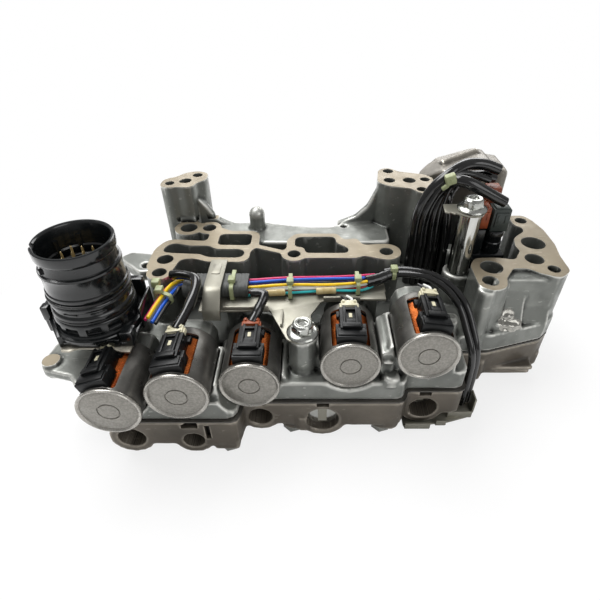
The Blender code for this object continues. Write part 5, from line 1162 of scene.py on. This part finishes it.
def makeSensors():
    body = bmesh.new()
    blocks(body, (
        ((106.0, 20.0, 46.4), (128.0, 50.0, 72.0), 1.2), ((106.6, 21.2, 70.0), (112.4, 30.8, 89.8), 0.5),
        ((115.0, 38.7, 70.0), (123.3, 47.3, 98.5), 0.8), ((107.0, 19.6, 60.0), (127.0, 21.0, 70.0), 0.6),
        ((124.0, 32.0, 70.0), (127.0, 44.0, 82.0), 0.6),
    ))
    blocks(body, (((114.9, 38.6, 98.0), (123.4, 47.4, 109.5), 0.6), ((115.9, 38.0, 100.0), (122.4, 39.2, 107.5), 0.3)),
           mat=1)
    lathe(body, [(0, 87.8), (5.6, 87.8), (5.9, 87.2), (5.9, 84.0), (5.4, 83.4), (5.4, 80.0), (5.9, 79.4), (5.9, 71.0),
                 (0, 71.0)], (120.0, 27.0, 0), sides=40)
    dress(makeObject("sensorBody", body, [blackNylon, orangeNylon]), "sensor_body", slot="black_plastic")

    grey = bmesh.new()
    blocks(grey, (
        ((114.6, 21.6, 88.4), (125.4, 31.9, 103.4), 0.6), ((116.2, 20.6, 92.0), (123.8, 22.0, 101.5), 0.3),
        ((115.6, 22.4, 103.0), (124.4, 31.2, 104.4), 0.3), ((117.2, 20.2, 95.0), (118.4, 22.0, 100.0), 0.2),
        ((121.6, 20.2, 95.0), (122.8, 22.0, 100.0), 0.2),
    ))
    dress(makeObject("greyConnector", grey, [greyNylon]), "grey_connector", slot="grey_plastic")

    orange = bmesh.new()
    blocks(orange, (
        ((105.7, 21.6, 90.4), (112.9, 31.4, 104.6), 0.6), ((106.6, 20.8, 93.0), (112.0, 22.2, 102.0), 0.3),
        ((107.8, 22.4, 104.2), (110.8, 30.6, 105.9), 0.3), ((107.4, 20.5, 97.0), (108.4, 22.0, 101.0), 0.2),
        ((110.2, 20.5, 97.0), (111.2, 22.0, 101.0), 0.2),
    ))
    dress(makeObject("orangeConnector", orange, [orangeNylon]), "orange_connector", slot="orange_plastic")


makeHarness()
makeCables()
makeSensors()
print("harness made")

# springs behind the spools

# closedTurn is how much of the first and the last turn lies flat against its seat
springLook = {"wire": 0.6, "turns": 4.5, "pointsPerTurn": 24, "closedTurn": 0.8, "slope": 0.04}


def makeSprings():
    joints = {joint["name"]: joint for joint in frame["record"]["behaviour"]["joints"]}
    wire, turns, closed, slope = (springLook[name] for name in ("wire", "turns", "closedTurn", "slope"))
    for number in range(1, 6):
        node, joint = f"spool_spring_{number}", joints[f"spool_{number}_slide"]
        low, high = (onDrawing(Vector(corner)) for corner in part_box(node))
        middle = (low + high) / 2
        radius = (high.x - low.x) / 2 - wire
        start, end = low.y + wire, high.y - wire
        route = []
        for i in range(round(turns * springLook["pointsPerTurn"]) + 1):
            turn = i / springLook["pointsPerTurn"]
            rise = min(max((turn - closed) / (turns - 2 * closed), 0.0), 1.0)
            rise = slope * turn + (1 - slope * turns) * rise
            angle = math.tau * turn
            route.append((middle.x + radius * math.cos(angle), start + (end - start) * rise,
                          middle.z + radius * math.sin(angle)))
        piece = bmesh.new()
        tube(piece, route, wire, sides=8, spacing=1.2)
        spring = dress(makeObject(f"spoolSpring{number}", piece, [polishedSteel]), node, slot="bright_steel")
        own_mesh(spring)


makeSprings()
print("springs made")

# solids that keep their own shape and get a better finish

# the separator plate gets the darkened sheet, a painted shade for the seam
refinished = {"separator_plate": seamShadeSheet}
for number in range(1, 6):
    refinished[f"spool_{number}"] = refinished[f"plunger_{number}"] = polishedSteel
    refinished[f"spool_retainer_{number}"] = zincSheet
for node, material in refinished.items():
    mesh = frame["nodes"][node].data
    mesh.materials.clear()
    mesh.materials.append(material)

stageLook = {
    "floor": "#f4f4f4", "sky": 0.34,
    # the floor is plain white past far and mostly white within near, in metres from the middle
    "near": 0.18, "far": 0.27, "nearWhite": 0.78,
    # each lamp: its place, its width and height, and its power
    "lamps": {
        "keyLamp": ((-0.35, 0.25, 0.95), (0.9, 0.6), 12.0),
        "fillLamp": ((0.7, -0.75, 0.7), (0.8, 0.8), 4.0),
        "rimLamp": ((0.1, 0.9, 0.5), (1.0, 0.4), 5.0),
    },
    # the camera as fitted to the photo: drawing place, degrees off straight down, lens in mm, shift
    "camera": ((2.35, -230.5, 234.3), 51.5, 27.6, -0.0167),
}


def makeStage():
    floor = bpy.data.meshes.new("floor")
    floor.from_pydata([(-6, -6, 0), (6, -6, 0), (6, 6, 0), (-6, 6, 0)], [], [(0, 1, 2, 3)])
    thing = bpy.data.objects.new("floor", floor)
    thing.location.z = -0.0002
    bpy.context.scene.collection.objects.link(thing)
    paint = bpy.data.materials.new("paleFloor")
    paint.use_nodes = True
    tree = paint.node_tree
    shader = tree.nodes["Principled BSDF"]
    shader.inputs["Base Color"].default_value = linear(stageLook["floor"])
    shader.inputs["Roughness"].default_value = 0.9
    path = addNode(tree, "ShaderNodeLightPath")
    white = addNode(tree, "ShaderNodeEmission", {"Color": (1, 1, 1, 1), "Strength": 1.0})
    # the shadow stays near the part; farther out the floor turns plain white
    spot = addNode(tree, "ShaderNodeTexCoord").outputs["Object"]
    away = addNode(tree, "ShaderNodeVectorMath", {0: spot}, operation="LENGTH").outputs["Value"]
    fade = addNode(tree, "ShaderNodeMapRange", {"Value": away, "From Min": stageLook["near"],
                                                "From Max": stageLook["far"], "To Min": stageLook["nearWhite"],
                                                "To Max": 1.0}).outputs[0]
    seen = addNode(tree, "ShaderNodeMath", {0: path.outputs["Is Camera Ray"], 1: fade}, operation="MULTIPLY")
    both = addNode(tree, "ShaderNodeMixShader", {0: seen.outputs[0], 1: shader.outputs[0], 2: white.outputs[0]})
    tree.links.new(both.outputs[0], tree.nodes["Material Output"].inputs["Surface"])
    floor.materials.append(paint)

    world = bpy.data.worlds.new("studio")
    bpy.context.scene.world = world
    world.use_nodes = True
    tree = world.node_tree
    path = addNode(tree, "ShaderNodeLightPath")
    level = addNode(tree, "ShaderNodeMath", {0: path.outputs["Is Camera Ray"], 1: 1 - stageLook["sky"],
                                             2: stageLook["sky"]}, operation="MULTIPLY_ADD")
    tree.links.new(level.outputs[0], tree.nodes["Background"].inputs["Strength"])
    tree.nodes["Background"].inputs["Color"].default_value = (1, 1, 1, 1)


def addLamp(name, spot, size, power):
    lamp = bpy.data.lights.new(name, "AREA")
    lamp.shape = "RECTANGLE"
    lamp.size, lamp.size_y = size
    lamp.energy = power
    thing = bpy.data.objects.new(name, lamp)
    thing.location = spot
    thing.rotation_euler = (Vector((0, 0, 0.05)) - Vector(spot)).to_track_quat("-Z", "Y").to_euler()
    bpy.context.scene.collection.objects.link(thing)


def makeCamera():
    spot, tilt, lens, shift = stageLook["camera"]
    data = bpy.data.cameras.new("camera")
    data.sensor_width = 36.0
    data.lens = lens
    data.shift_x = shift
    data.clip_start = 0.01
    camera = bpy.data.objects.new("camera", data)
    camera.location = at(*spot)
    camera.rotation_euler = (math.radians(tilt), 0, 0)
    bpy.context.scene.collection.objects.link(camera)
    bpy.context.scene.camera = camera


makeStage()
for name, lamp in stageLook["lamps"].items():
    addLamp(name, *lamp)
makeCamera()
bpy.context.scene.view_settings.view_transform = "Standard"
print("stage made")
